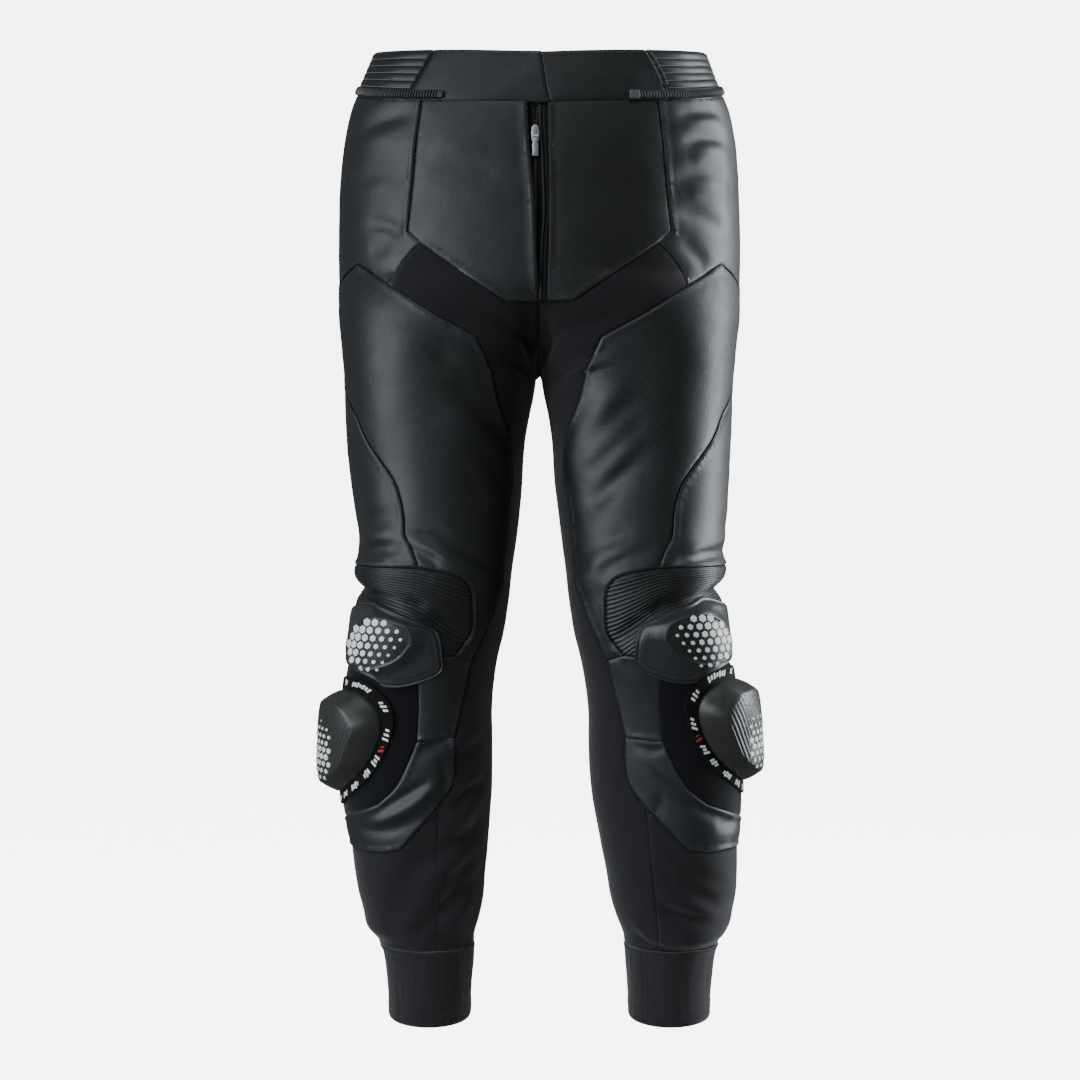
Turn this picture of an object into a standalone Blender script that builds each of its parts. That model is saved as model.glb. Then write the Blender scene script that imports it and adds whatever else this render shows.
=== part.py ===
"""Motorcycle trousers in the shape they have when worn, with no wearer: black leather panels, stretch cloth at
the crotch, inner leg and calf, ribbed leather over the knee, a moulded knee guard and a knee slider on each leg,
a ribbed stretch insert at each side of the waistband, a fly zip and a jacket zip round the back of the waist.

Every piece of cloth is a wall cut from one worn form. The form is a tube for each leg, read from a short table of
sections, and the two tubes meet on the middle plane above the crotch. A place on the form is (round, z): round is
in degrees, 0 at the centre front or the inseam, 90 on the front of the leg, 180 on the outside and 360 at the
centre back, and z is the height. The middle of the waist opening is the origin, +X is the wearer's left and the
front faces -Y.
"""

import math
from collections import namedtuple

import bmesh
import bpy
import numpy as np
from mathutils import Vector

MM = 0.001
RIGHT, LEFT = -1, 1  # the wearer's right leg is on the -X side
SIDE_NAMES = {RIGHT: "right", LEFT: "left"}

# Driving dimensions, in millimetres unless they say otherwise.
SIGHT_DISTANCE = 3200.0  # the front view that the seams are drawn on is seen from this far
SIGHT_HEIGHT = -465.0  # and from this height
CROTCH_Z = -303.0
FORK_START_Z = -205.0  # the pelvis starts to part into two legs here
FORK_POWER = 1.6
LEATHER = 1.6
STRETCH_CLOTH = 1.2
PILE_CLOTH = 1.8
SEAM_GAP = 0.3
PATTERN_SCALE = 1.5  # millimetres of flat pattern for each degree round the form
COLUMN_STEP = 20.0  # degrees between the lines that cut a panel into faces
ROW_STEP = 30.0
LAYER_GAP = 0.3  # between a panel and what lies on it

# The worn form, a row for each level. outer and inner are distances from the middle plane, front and back are y,
# and squareness is the superellipse's power. Above the crotch the inner edge follows from the fork.
Section = namedtuple("Section", "z outer inner front back squareness")
SECTIONS = (
    Section(60, 160, 0, -100, 104, 2.3),
    Section(19, 166, 0, -108, 112, 2.3),
    Section(-5, 175, 0, -113, 118, 2.3),
    Section(-25, 184, 0, -117, 123, 2.3),
    Section(-65, 194, 0, -124, 133, 2.3),
    Section(-101, 198, 0, -128, 141, 2.3),
    Section(-150, 200, 0, -131, 147, 2.3),
    Section(-209, 200, 0, -132, 145, 2.4),
    Section(-245, 199, 0, -131, 138, 2.6),
    Section(-269, 196, 0, -130, 130, 2.7),
    Section(-303, 193, 0, -128, 116, 2.7),
    Section(-317, 192, 2, -128, 110, 2.6),
    Section(-341, 191, 7, -128, 101, 2.5),
    Section(-365, 190, 11, -129, 92, 2.4),
    Section(-413, 186, 16, -131, 74, 2.3),
    Section(-437, 183, 19, -132, 64, 2.3),
    Section(-461, 179, 22, -133, 55, 2.3),
    Section(-491, 180, 26, -134, 43, 2.3),
    Section(-521, 180, 29, -132, 36, 2.3),
    Section(-557, 184, 35, -124, 36, 2.3),
    Section(-581, 188, 41, -116, 40, 2.3),
    Section(-605, 192, 45, -108, 47, 2.3),
    Section(-635, 195, 48, -99, 57, 2.3),
    Section(-665, 197, 48, -91, 64, 2.3),
    Section(-700, 199, 49, -83, 71, 2.3),
    Section(-725, 199, 51, -77, 75, 2.3),
    Section(-749, 197, 54, -71, 78, 2.2),
    Section(-773, 193, 57, -65, 79, 2.2),
    Section(-797, 191, 61, -59, 79, 2.2),
    Section(-821, 188, 64, -53, 78, 2.2),
    Section(-845, 181, 70, -46, 75, 2.2),
    Section(-857, 175, 74, -41, 72, 2.1),
    Section(-869, 169, 76, -37, 69, 2.1),
    Section(-881, 166, 76, -35, 67, 2.1),
    Section(-905, 163, 78, -32, 65, 2.1),
    Section(-960, 160, 80, -27, 63, 2.1),
)
# Both lower legs stand a little to the wearer's left of an even stance.
LEAN_LEVELS = (-960, -920, -880, -840, -800, -760, -720, -680, -640, 60)
LEAN = (9.5, 9.5, 9.5, 8, 6, 4, 2, 0.5, 0, 0)

# Heights round the waist, by angle from the centre front to the centre back.
WAIST_ANGLES = (0, 45, 90, 135, 180)
WAIST_SEAM_HEIGHTS = (-44, -37, -21, -12, -8)
BAND_TOP_HEIGHTS = (7, 13, 22, 33, 39)

CUFF_SEAM_Z, CUFF_SEAM_TILT = -868.0, 4.0  # the front of the ring is lower than its back by twice the tilt
HEM_Z, HEM_TILT = -940.0, 8.5

# The largest folds, a trough (depth above 0) or a ridge (below 0) along a line on the form.
Fold = namedtuple("Fold", "round_a z_a round_b z_b width depth")
SHARED_FOLDS = (
    Fold(212, -505, 98, -529, 8, 10.0),  # the pinch between the two rolls of the knee's ribbed leather
    Fold(104, -527, 60, -563, 8, 7.0),
    Fold(190, -492, 110, -497, 12, -4.0),
    Fold(120, -474, 20, -512, 14, -4.5),  # thigh leather that hangs over the knee
    Fold(250, -520, 340, -560, 14, 6.0),  # behind the knee
    Fold(345, -545, 262, -590, 13, 5.5),
    Fold(100, -857, 200, -846, 10, -4.0),  # the calf's cloth bellies over the cuff
)
RIGHT_FOLDS = (
    Fold(150, -385, 165, -475, 30, 6.5),
    Fold(70, -330, 30, -390, 20, 4.0),
    Fold(48, -690, 118, -845, 16, 4.5),
    Fold(28, -745, 80, -868, 14, 4.0),
)
LEFT_FOLDS = (
    Fold(165, -415, 172, -500, 26, -3.0),
    Fold(80, -345, 32, -400, 18, -4.5),
    Fold(95, -380, 40, -440, 18, 4.0),
    Fold(70, -800, 170, -848, 16, 4.5),
)

Seen = namedtuple("Seen", "x z")  # a seam point as the front view shows it
Round = namedtuple("Round", "degrees z")  # a seam point on a side that the front view hides

SIDE_BACK_WAIST = 232.0
SIDE_BACK_LEG = 214.0
INNER_BACK_LEG = -52.0
BACK_LEATHER_END_Z = -600.0
GUSSET_BACK_Z = -250.0


# --- the worn form -------------------------------------------------------------------------------------------

def through(knots, values, at):
    """A smooth curve through the rows of a table, read at any places."""
    knots = np.asarray(knots, float)
    values = np.asarray(values, float)
    slopes = np.gradient(values, knots)
    at = np.clip(at, knots[0], knots[-1])
    i = np.clip(np.searchsorted(knots, at) - 1, 0, len(knots) - 2)
    span = knots[i + 1] - knots[i]
    t = (at - knots[i]) / span
    start = (1 + 2 * t) * (1 - t) ** 2 * values[i] + t * (1 - t) ** 2 * span * slopes[i]
    end = t * t * (3 - 2 * t) * values[i + 1] + t * t * (t - 1) * span * slopes[i + 1]
    return start + end


SECTION_COLUMNS = np.array(sorted(SECTIONS)).T


def section(z):
    """outer, inner, front, back, squareness and fork share at heights z, in millimetres."""
    levels = SECTION_COLUMNS[0]
    outer, inner, front, back, power = (through(levels, column, z) for column in SECTION_COLUMNS[1:])
    fork = np.clip((FORK_START_Z - z) / (FORK_START_Z - CROTCH_Z), 0, 1)
    share = 1 - (1 - fork) ** FORK_POWER
    inner = np.where(z > CROTCH_Z, outer * (share - 1) / (1 + share), np.maximum(inner, 0))
    return outer, inner, front, back, power, share


def front_edge_angle(power, share):
    """The angle at which a leg's section meets the middle plane in front: 0 at the hips, -90 below the crotch."""
    height = np.maximum(1 - share**power, 0) ** (1 / power)
    return -np.degrees(np.arctan2(share, height))


def angle_of(degrees, z):
    """The section's own angle, 0 at its front and 90 outside, of places given by their way round the form."""
    *_, power, share = section(z)
    edge = front_edge_angle(power, share)
    degrees = np.where(degrees < 0, degrees + 360, degrees)
    return edge + degrees / 360 * (180 - 2 * edge)


def round_of(angle, z):
    *_, power, share = section(z)
    edge = front_edge_angle(power, share)
    return (angle - edge) / (180 - 2 * edge) * 360


def bare_point(angle, z):
    """x, y, z of the form without folds on the wearer's left, in millimetres."""
    outer, inner, front, back, power, _ = section(z)
    across, along = np.sin(np.radians(angle)), np.cos(np.radians(angle))
    size = (np.abs(across) ** power + np.abs(along) ** power) ** (-1 / power)
    x = (outer + inner) / 2 + (outer - inner) / 2 * across * size
    y = (front + back) / 2 + (front - back) / 2 * along * size
    return np.stack([x, y, z + 0 * x], axis=-1)


def normal_at(angle, z):
    nearby = 0.5
    sideways = bare_point(angle + nearby, z) - bare_point(angle - nearby, z)
    upward = bare_point(angle, z + nearby) - bare_point(angle, z - nearby)
    normal = np.cross(sideways, upward)
    return normal / np.linalg.norm(normal, axis=-1, keepdims=True)


def fold_height(folds, degrees, z):
    """How far the folds move the cloth out, in millimetres."""
    height = np.zeros(np.shape(degrees + z))
    for f in folds:
        start = np.array([f.round_a * PATTERN_SCALE, f.z_a])
        way = np.array([f.round_b * PATTERN_SCALE, f.z_b]) - start
        place = np.stack([degrees * PATTERN_SCALE + 0 * z, z + 0 * degrees], axis=-1) - start
        share = np.clip(place @ way / (way @ way), 0, 1)
        off = np.linalg.norm(place - share[..., None] * way, axis=-1)
        height -= f.depth * np.exp(-((off / f.width) ** 2)) * (0.35 + 0.65 * np.sin(np.pi * share))
    return height


def on_form(side, degrees, z, lift=0.0):
    """Points in metres at places (degrees round, z) of one side, moved out by lift millimetres."""
    degrees, z = np.asarray(degrees, float), np.asarray(z, float)
    folds = SHARED_FOLDS + (RIGHT_FOLDS if side == RIGHT else LEFT_FOLDS)
    wrapped = np.where((degrees < 0) & (z < CROTCH_Z), degrees + 360, degrees)
    crease = fold_height(folds, degrees, z) + np.where(wrapped != degrees, fold_height(folds, wrapped, z), 0)
    angle = angle_of(degrees, z)
    points = bare_point(angle, z) + normal_at(angle, z) * (lift + crease)[..., None]
    points[..., 0] = side * points[..., 0] + through(LEAN_LEVELS, LEAN, z)
    return points * MM


def placed(point):
    """(degrees round, z) of a seam point. One that is seen is moved from the plane of the drawing to the form."""
    if isinstance(point, Round):
        return point.degrees, point.z
    x, z, y = point.x, point.z, 0.0
    for _ in range(6):
        nearer = 1 + y / SIGHT_DISTANCE
        x, z = point.x * nearer, SIGHT_HEIGHT + (point.z - SIGHT_HEIGHT) * nearer
        outer, inner, _, _, power, _ = section(np.float64(z))
        across = np.clip((x - (outer + inner) / 2) / ((outer - inner) / 2), -1, 1)
        along = (1 - abs(across) ** power) ** (1 / power)
        angle = math.degrees(math.atan2(across, along))
        y = bare_point(angle, np.float64(z))[1]
    return float(round_of(angle, z)), float(z)


def seam(*points, steps=2):
    """A smooth seam through points, as places on the form."""
    places = np.array([placed(p) for p in points])
    if len(places) == 2:
        return places
    knots = np.arange(len(places))
    at = np.linspace(0, len(places) - 1, (len(places) - 1) * steps + 1)
    return np.stack([through(knots, places[:, 0], at), through(knots, places[:, 1], at)], axis=-1)


def outline(*seams):
    """One closed outline from seams that follow each other, each turned round where it has to be."""
    whole = [seams[0]]
    if min(math.dist(seams[0][0], end) for end in (seams[1][0], seams[1][-1])) < 1e-6:
        whole = [seams[0][::-1]]
    for s in seams[1:]:
        last = whole[-1][-1]
        whole.append(s if math.dist(s[0], last) <= math.dist(s[-1], last) else s[::-1])
    points = np.concatenate(whole)
    keep = [i for i in range(len(points)) if math.dist(points[i], points[i - 1]) > 1e-6]
    return points[keep]


# --- the seams of one side -------------------------------------------------------------------------------------

def waist_line(heights, start, end, count):
    """A stretch of the waist seam or of the band's top edge, between two angles from the centre front."""
    angles = np.linspace(start, end, count)
    z = through(WAIST_ANGLES, heights, angles)
    return np.stack([round_of(angles, z), z], axis=-1)


def ring(z_middle, tilt, start, end, count):
    """A stretch of a ring round the lower leg, lower in front."""
    degrees = np.linspace(start, end, count)
    return np.stack([degrees, z_middle - tilt * np.cos(np.radians(degrees - 90))], axis=-1)


YOKE_WAIST_ANGLE = float(angle_of(*placed(Seen(119, -26))))
SIDE_BACK_ANGLE = SIDE_BACK_WAIST / 2


def on_waist(angle):
    return Round(*waist_line(WAIST_SEAM_HEIGHTS, angle, angle, 1)[0])


def cuff_seam_at(degrees):
    return Round(degrees, CUFF_SEAM_Z - CUFF_SEAM_TILT * math.cos(math.radians(degrees - 90)))


CALF_SEAM_DEGREES = placed(Seen(110, -869))[0]
CROTCH_FRONT = Round(0.2, -236)
FLY_WAIST_ANGLE = {RIGHT: 3.9, LEFT: 0.9}  # the fly stands open by this much at the waist

SEAMS = {
    "waist_yoke_right": waist_line(WAIST_SEAM_HEIGHTS, FLY_WAIST_ANGLE[RIGHT], YOKE_WAIST_ANGLE, 4),
    "waist_yoke_left": waist_line(WAIST_SEAM_HEIGHTS, FLY_WAIST_ANGLE[LEFT], YOKE_WAIST_ANGLE, 4),
    "fly_right": seam(
        on_waist(FLY_WAIST_ANGLE[RIGHT]), Seen(8.5, -75), Seen(4, -125), Seen(1.6, -175), CROTCH_FRONT
    ),
    "fly_left": seam(
        on_waist(FLY_WAIST_ANGLE[LEFT]), Seen(3.4, -75), Seen(3, -125), Seen(1.6, -175), CROTCH_FRONT
    ),
    "waist_side": waist_line(WAIST_SEAM_HEIGHTS, YOKE_WAIST_ANGLE, SIDE_BACK_ANGLE, 6),
    "waist_back": waist_line(WAIST_SEAM_HEIGHTS, SIDE_BACK_ANGLE, 180, 5),
    "yoke_side": seam(on_waist(YOKE_WAIST_ANGLE), Seen(124, -65), Seen(131, -140), Seen(133.5, -156)),
    "yoke_slant_outer": seam(Seen(133.5, -156), Seen(119, -168)),
    "yoke_slant_inner": seam(Seen(119, -168), Seen(78, -196.5), Seen(34, -226)),
    "yoke_foot": seam(Seen(34, -226), CROTCH_FRONT),
    "gusset_curve": seam(Seen(119, -168), Seen(129, -178), Seen(139, -191), Seen(146, -204), Seen(148, -211)),
    "thigh_top_outer": seam(Seen(183, -189), Seen(148, -211)),
    "thigh_top_inner": seam(Seen(148, -211), Seen(112, -235), Seen(63, -262)),
    "thigh_inner": seam(
        Seen(63, -262), Seen(50, -290), Seen(40, -325), Seen(29, -353), Seen(26, -373), Seen(26, -400),
        Seen(30, -430), Seen(34, -473), Seen(38, -502), Seen(46, -535), Seen(58, -565), Seen(68, -586),
        steps=1,
    ),
    "thigh_outer": seam(
        Seen(183, -189), Round(168, -222), Round(176, -262), Round(173, -303), Seen(184, -340), Seen(173, -367),
        Seen(148, -402), Seen(140, -420), Seen(136, -440), Seen(134, -461), Seen(127, -474), Seen(120, -493),
        steps=1,
    ),
    "knee_top_outer": seam(Seen(120, -493), Round(SIDE_BACK_LEG, -487)),
    "knee_inner": seam(
        Seen(120, -493), Seen(86, -500), Seen(73, -508), Seen(67, -520), Seen(66, -539), Seen(67, -557),
        Seen(74, -570), Seen(84, -581),
    ),
    "thigh_foot": seam(Seen(84, -581), Seen(68, -586)),
    "knee_foot_inner": seam(Seen(84, -581), Seen(123, -585)),
    "knee_foot_outer": seam(Seen(123, -585), Round(SIDE_BACK_LEG, -587)),
    "patch_inner": seam(Seen(123, -585), Seen(121, -625), Seen(123, -667)),
    "shin_join": seam(Seen(85, -663), Seen(123, -667)),
    "patch_foot": seam(
        Seen(123, -667), Seen(133, -690), Seen(146, -713), Seen(165, -730), Round(165, -739),
        Round(SIDE_BACK_LEG, -742),
    ),
    "inner_shin": seam(Seen(68, -586), Seen(74, -615), Seen(80, -640), Seen(85, -663)),
    "shin_point": seam(Seen(85, -663), Seen(84, -685), Seen(88, -710), Seen(104, -733)),
    "shin_foot_slant": seam(Seen(104, -733), Seen(144, -775)),
    "shin_foot": seam(Seen(144, -775), Seen(160, -778), Round(165, -770), Round(SIDE_BACK_LEG, -764)),
    "calf_inner": seam(Seen(104, -733), Seen(107, -800), cuff_seam_at(CALF_SEAM_DEGREES)),
    "side_back_thigh": seam(
        on_waist(SIDE_BACK_ANGLE), Round(222, -200), Round(212, -330), Round(SIDE_BACK_LEG, -487)
    ),
    "side_back_knee": seam(Round(SIDE_BACK_LEG, -487), Round(SIDE_BACK_LEG, -587)),
    "side_back_end": seam(Round(SIDE_BACK_LEG, -587), Round(SIDE_BACK_LEG, BACK_LEATHER_END_Z)),
    "side_back_patch": seam(Round(SIDE_BACK_LEG, BACK_LEATHER_END_Z), Round(SIDE_BACK_LEG, -742)),
    "side_back_shin": seam(Round(SIDE_BACK_LEG, -742), Round(SIDE_BACK_LEG, -764)),
    "side_back_calf": seam(Round(SIDE_BACK_LEG, -764), cuff_seam_at(SIDE_BACK_LEG)),
    "centre_front": seam(CROTCH_FRONT, Round(0.2, CROTCH_Z + 4)),
    "crotch_point": seam(Round(0.2, CROTCH_Z + 4), Round(-0.2, CROTCH_Z + 4)),
    "gusset_back": seam(Round(-0.2, CROTCH_Z + 4), Round(-0.2, GUSSET_BACK_Z)),
    "inner_back": seam(
        Round(-0.2, GUSSET_BACK_Z), Round(-22, -290), Round(-40, -340), Round(INNER_BACK_LEG, -400),
        Round(INNER_BACK_LEG, BACK_LEATHER_END_Z),
    ),
    "inner_back_calf": seam(Round(INNER_BACK_LEG, BACK_LEATHER_END_Z), cuff_seam_at(INNER_BACK_LEG)),
    "back_foot": seam(Round(SIDE_BACK_LEG, BACK_LEATHER_END_Z), Round(360 + INNER_BACK_LEG, BACK_LEATHER_END_Z)),
    "centre_back": seam(on_waist(180), Round(360, GUSSET_BACK_Z)),
    "cuff_seam_inner": ring(CUFF_SEAM_Z, CUFF_SEAM_TILT, INNER_BACK_LEG, CALF_SEAM_DEGREES, 5),
    "cuff_seam_front": ring(CUFF_SEAM_Z, CUFF_SEAM_TILT, CALF_SEAM_DEGREES, SIDE_BACK_LEG, 5),
    "cuff_seam_back": ring(CUFF_SEAM_Z, CUFF_SEAM_TILT, SIDE_BACK_LEG, 360 + INNER_BACK_LEG, 5),
}
BEHIND = {
    name: SEAMS[name] + np.array([360.0, 0.0])
    for name in ("inner_back", "inner_back_calf")
}


def panel(*names):
    """The outline of a panel, by the names of the seams round it."""
    return outline(*(SEAMS[n] for n in names))


PANELS = {
    "yoke_front_right": panel(
        "waist_yoke_right", "yoke_side", "yoke_slant_outer", "yoke_slant_inner", "yoke_foot", "fly_right"
    ),
    "yoke_front_left": panel(
        "waist_yoke_left", "yoke_side", "yoke_slant_outer", "yoke_slant_inner", "yoke_foot", "fly_left"
    ),
    "outer_side": panel(
        "waist_side", "side_back_thigh", "knee_top_outer", "thigh_outer", "thigh_top_outer", "gusset_curve",
        "yoke_slant_outer", "yoke_side",
    ),
    "thigh_front": panel(
        "thigh_top_outer", "thigh_top_inner", "thigh_inner", "thigh_foot", "knee_inner", "thigh_outer"
    ),
    "inner_stretch": panel(
        "yoke_foot", "yoke_slant_inner", "gusset_curve", "thigh_top_inner", "thigh_inner", "inner_shin",
        "shin_point", "calf_inner", "cuff_seam_inner", "inner_back_calf", "inner_back", "gusset_back",
        "crotch_point", "centre_front",
    ),
    "knee_stretch": panel("knee_top_outer", "knee_inner", "knee_foot_inner", "knee_foot_outer", "side_back_knee"),
    "slider_patch": panel(
        "knee_foot_outer", "patch_inner", "patch_foot", "side_back_patch", "side_back_end"
    ),
    "shin_upper": panel("thigh_foot", "knee_foot_inner", "patch_inner", "shin_join", "inner_shin"),
    "shin_lower": panel(
        "shin_join", "patch_foot", "side_back_shin", "shin_foot", "shin_foot_slant", "shin_point"
    ),
    "calf_front": panel("shin_foot_slant", "shin_foot", "side_back_calf", "cuff_seam_front", "calf_inner"),
    "seat_and_thigh_back": outline(
        SEAMS["waist_back"], SEAMS["centre_back"], BEHIND["inner_back"], SEAMS["back_foot"],
        SEAMS["side_back_end"], SEAMS["side_back_knee"], SEAMS["side_back_thigh"],
    ),
    "calf_back": outline(
        SEAMS["back_foot"], BEHIND["inner_back_calf"], SEAMS["cuff_seam_back"], SEAMS["side_back_calf"],
        SEAMS["side_back_shin"], SEAMS["side_back_patch"],
    ),
}


# --- walls ---------------------------------------------------------------------------------------------------


def flat_panel(places, columns, rows, within):
    """The panel on its flat pattern, cut along a grid: a bmesh with x = degrees * PATTERN_SCALE and y = z."""
    bm = bmesh.new()
    face = bm.faces.new([bm.verts.new((d * PATTERN_SCALE, z, 0)) for d, z in places])
    face.normal_update()
    if face.normal.z < 0:
        face.normal_flip()
    cuts = [((d * PATTERN_SCALE, 0, 0), (1, 0, 0)) for d in columns] + [((0, z, 0), (0, 1, 0)) for z in rows]
    for place, across in cuts:
        everything = bm.verts[:] + bm.edges[:] + bm.faces[:]
        bmesh.ops.bisect_plane(bm, geom=everything, dist=0.05, plane_co=place, plane_no=across)
    rim = {v for v in bm.verts if v.is_boundary}
    joined = {}
    for v in set(bm.verts) - rim:
        near = [w for w in (e.other_vert(v) for e in v.link_edges) if w in rim and (w.co - v.co).length < within]
        if near:  # a cut that passes close to a corner of the outline goes to the corner, so no sliver is left
            joined[v] = min(near, key=lambda w: (w.co - v.co).length)
    bmesh.ops.weld_verts(bm, targetmap=joined)
    bmesh.ops.triangulate(bm, faces=bm.faces, quad_method="BEAUTY", ngon_method="BEAUTY")
    bm.verts.index_update()
    return bm


def lines_between(low, high, step):
    return np.arange(math.floor(low / step) + 1, math.ceil(high / step)) * step


def pulled_in(bm, gap):
    """How far each point of the rim moves along the cloth so that its edges keep half a seam gap."""
    moves = np.zeros((len(bm.verts), 3))
    for v in bm.verts:
        rim = [e for e in v.link_edges if e.is_boundary]
        if len(rim) != 2:
            continue
        ways = []
        for e in rim:
            face = e.link_faces[0]
            way = face.normal.cross((e.verts[1].co - e.verts[0].co).normalized())
            ways.append(way if way.dot(face.calc_center_median() - e.verts[0].co) > 0 else -way)
        share = max(1 + ways[0].dot(ways[1]), 0.2)
        moves[v.index] = (ways[0] + ways[1]) * (gap / share)
    return moves


def cloth_panel(side, places, thickness, column_step=COLUMN_STEP, row_step=ROW_STEP, within=3.0, relief=None):
    """Points and faces of a wall over an outline, its outer face on the form and raised by relief(degrees, z)."""
    low, high = places.min(axis=0), places.max(axis=0)
    bm = flat_panel(
        places, lines_between(low[0], high[0], column_step), lines_between(low[1], high[1], row_step), within
    )
    flat = np.array([v.co[:2] for v in bm.verts])
    degrees, z = flat[:, 0] / PATTERN_SCALE, flat[:, 1]
    outer = on_form(side, degrees, z)
    for v, point in zip(bm.verts, outer):
        v.co = point
    bm.normal_update()
    moves = pulled_in(bm, SEAM_GAP / 2 * MM)
    if relief is not None:
        outer = on_form(side, degrees, z, relief(degrees, z))
    inner = on_form(side, degrees, z, -thickness) + moves
    outer = outer + moves
    triangles = [[v.index for v in f.verts] for f in bm.faces]
    edges = [[loop.vert.index, loop.link_loop_next.vert.index] for f in bm.faces for loop in f.loops
             if loop.edge.is_boundary]
    bm.free()
    n = len(outer)
    points = np.concatenate([outer, inner])
    keep_side = side * np.maximum(side * points[:, 0], SEAM_GAP / 2 * MM)
    points[:, 0] = np.where(points[:, 2] > (CROTCH_Z - 30) * MM, keep_side, points[:, 0])
    faces = triangles + [[n + c, n + b, n + a] for a, b, c in triangles]
    for a, b in edges:  # two panels that meet cut the sides of their walls the same way
        low, high = sorted((a, b), key=lambda i: (round(z[i], 3), degrees[i]))
        faces += [[low, high, n + high], [low, n + high, n + low]]
    return points, faces


def grid_wall(outer, inner, closed):
    """Points and faces of a wall from two grids of points, [column][row], open or closed round the columns."""
    columns, rows = outer.shape[:2]
    at = np.arange(columns * rows * 2).reshape(2, columns, rows)
    faces = []
    for layer in at:
        for c in range(columns if closed else columns - 1):
            d = (c + 1) % columns
            for r in range(rows - 1):
                faces.append([layer[c, r], layer[d, r], layer[d, r + 1], layer[c, r + 1]])
    for c in range(columns if closed else columns - 1):
        d = (c + 1) % columns
        faces.append([at[1, c, 0], at[1, d, 0], at[0, d, 0], at[0, c, 0]])
        faces.append([at[0, c, -1], at[0, d, -1], at[1, d, -1], at[1, c, -1]])
    if not closed:
        for r in range(rows - 1):
            faces.append([at[1, 0, r], at[0, 0, r], at[0, 0, r + 1], at[1, 0, r + 1]])
            faces.append([at[0, -1, r], at[1, -1, r], at[1, -1, r + 1], at[0, -1, r + 1]])
    return np.concatenate([outer.reshape(-1, 3), inner.reshape(-1, 3)]), faces


def waist_points(angles, heights, lift):
    """Grid of points on the waist, by angle from -180 at the back over the wearer's right and the front."""
    columns = []
    for angle, z, out in zip(angles, heights, np.broadcast_to(lift, heights.shape)):
        side = RIGHT if angle < 0 else LEFT
        columns.append(on_form(side, round_of(abs(angle), z), z, out))
    return np.array(columns)


def stations(start, end):
    """The lines of the panels' grid between two angles round the waist, with both ends."""
    return np.unique(np.concatenate([[start], lines_between(start, end, COLUMN_STEP / 2), [end]]))


def height_at(heights, angles):
    return through(WAIST_ANGLES, heights, 180 - np.abs(180 - np.abs(angles)))


def waist_strip(start, end, foot, top, shares, thickness, relief):
    """A wall of the waistband between two angles. Shares are its rows from foot to top, relief raises each."""
    angles = stations(start, end)
    low, high = foot(angles)[:, None], top(angles)[:, None]
    heights = low + (high - low) * np.asarray(shares)
    turned = (angles + 180) % 360 - 180
    outer = waist_points(turned, heights, np.asarray(relief))
    inner = waist_points(turned, heights, -thickness + 0 * np.asarray(relief))
    return grid_wall(outer, inner, closed=False)


def ring_stack(side, outline_places, centre, rings, columns=22):
    """A moulded part: its outline drawn in to its centre in rings of (share, lift), from foot to top."""
    around = resampled(outline_places, columns)
    points, faces = [], []
    for share, lift in rings:
        places = centre + (around - centre) * share
        points.extend(on_form(side, places[:, 0], places[:, 1], lift))
    for k in range(len(rings) - 1):
        # Every quad is cut from its nearer corner to its farther one, so that parts which lie on each other match.
        near, far = sorted((k, k + 1), key=lambda ring: rings[ring][0])
        for c in range(columns):
            d = (c + 1) % columns
            corner, across = near * columns + c, far * columns + d
            faces.append([corner, far * columns + c, across])
            faces.append([corner, across, near * columns + d])
    first, last = len(points), len(points) + 1
    middle = np.full((2, 2), centre)
    points.extend(on_form(side, middle[:, 0], middle[:, 1], np.array([rings[0][1], rings[-1][1]])))
    top = (len(rings) - 1) * columns
    for c in range(columns):
        d = (c + 1) % columns
        faces.append([first, d, c])
        faces.append([last, top + c, top + d])
    return np.array(points), faces


def resampled(places, count):
    """Points at equal distances round a closed outline."""
    loop = np.vstack([places, places[:1]])
    steps = np.hypot(np.diff(loop[:, 0]) * PATTERN_SCALE, np.diff(loop[:, 1]))
    reach = np.concatenate([[0], np.cumsum(steps)])
    at = np.arange(count) / count * reach[-1]
    return np.stack([np.interp(at, reach, loop[:, k]) for k in (0, 1)], axis=-1)


# --- the pieces ----------------------------------------------------------------------------------------------

CUFF_COLUMN_STEP, CUFF_ROWS = 15, 4  # degrees, and rows of points from its seam to the hem
RIB_HEIGHT = 1.3
KNEE_RIB_PITCH = 5.0
BAND_RIBS = 6
BAND_RIBS_START, BAND_RIB_SHARE = 0.26, 0.123  # shares of the band's height
BAND_SIDE_END = 110.0  # degrees from the centre front
BAND_END_GAP = 0.1  # degrees from each end of a piece of the band to the seam
BAND_FOOT_GAP = 0.4
JACKET_ZIP_ENDS = (-29.5, 28.0)  # degrees from the centre front, wearer's right and left
JACKET_ZIP_FOOT, JACKET_ZIP_TOP = 1.0, 9.5  # above the foot of the band
JACKET_ZIP_FACE = (1.6, 2.6, 1.6)  # its face stands this far off the band: foot, middle, top
JACKET_ZIP_BACK = 0.6  # its back lies this far off the band
ZIP_END_INSET, ZIP_END_HALF_WIDTH = 2.2, 1.6  # degrees
ZIP_END_FOOT, ZIP_END_TOP, ZIP_END_FACE = 0.6, 10.0, 3.6
HARD_LIFT = RIB_HEIGHT + 1.8

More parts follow.
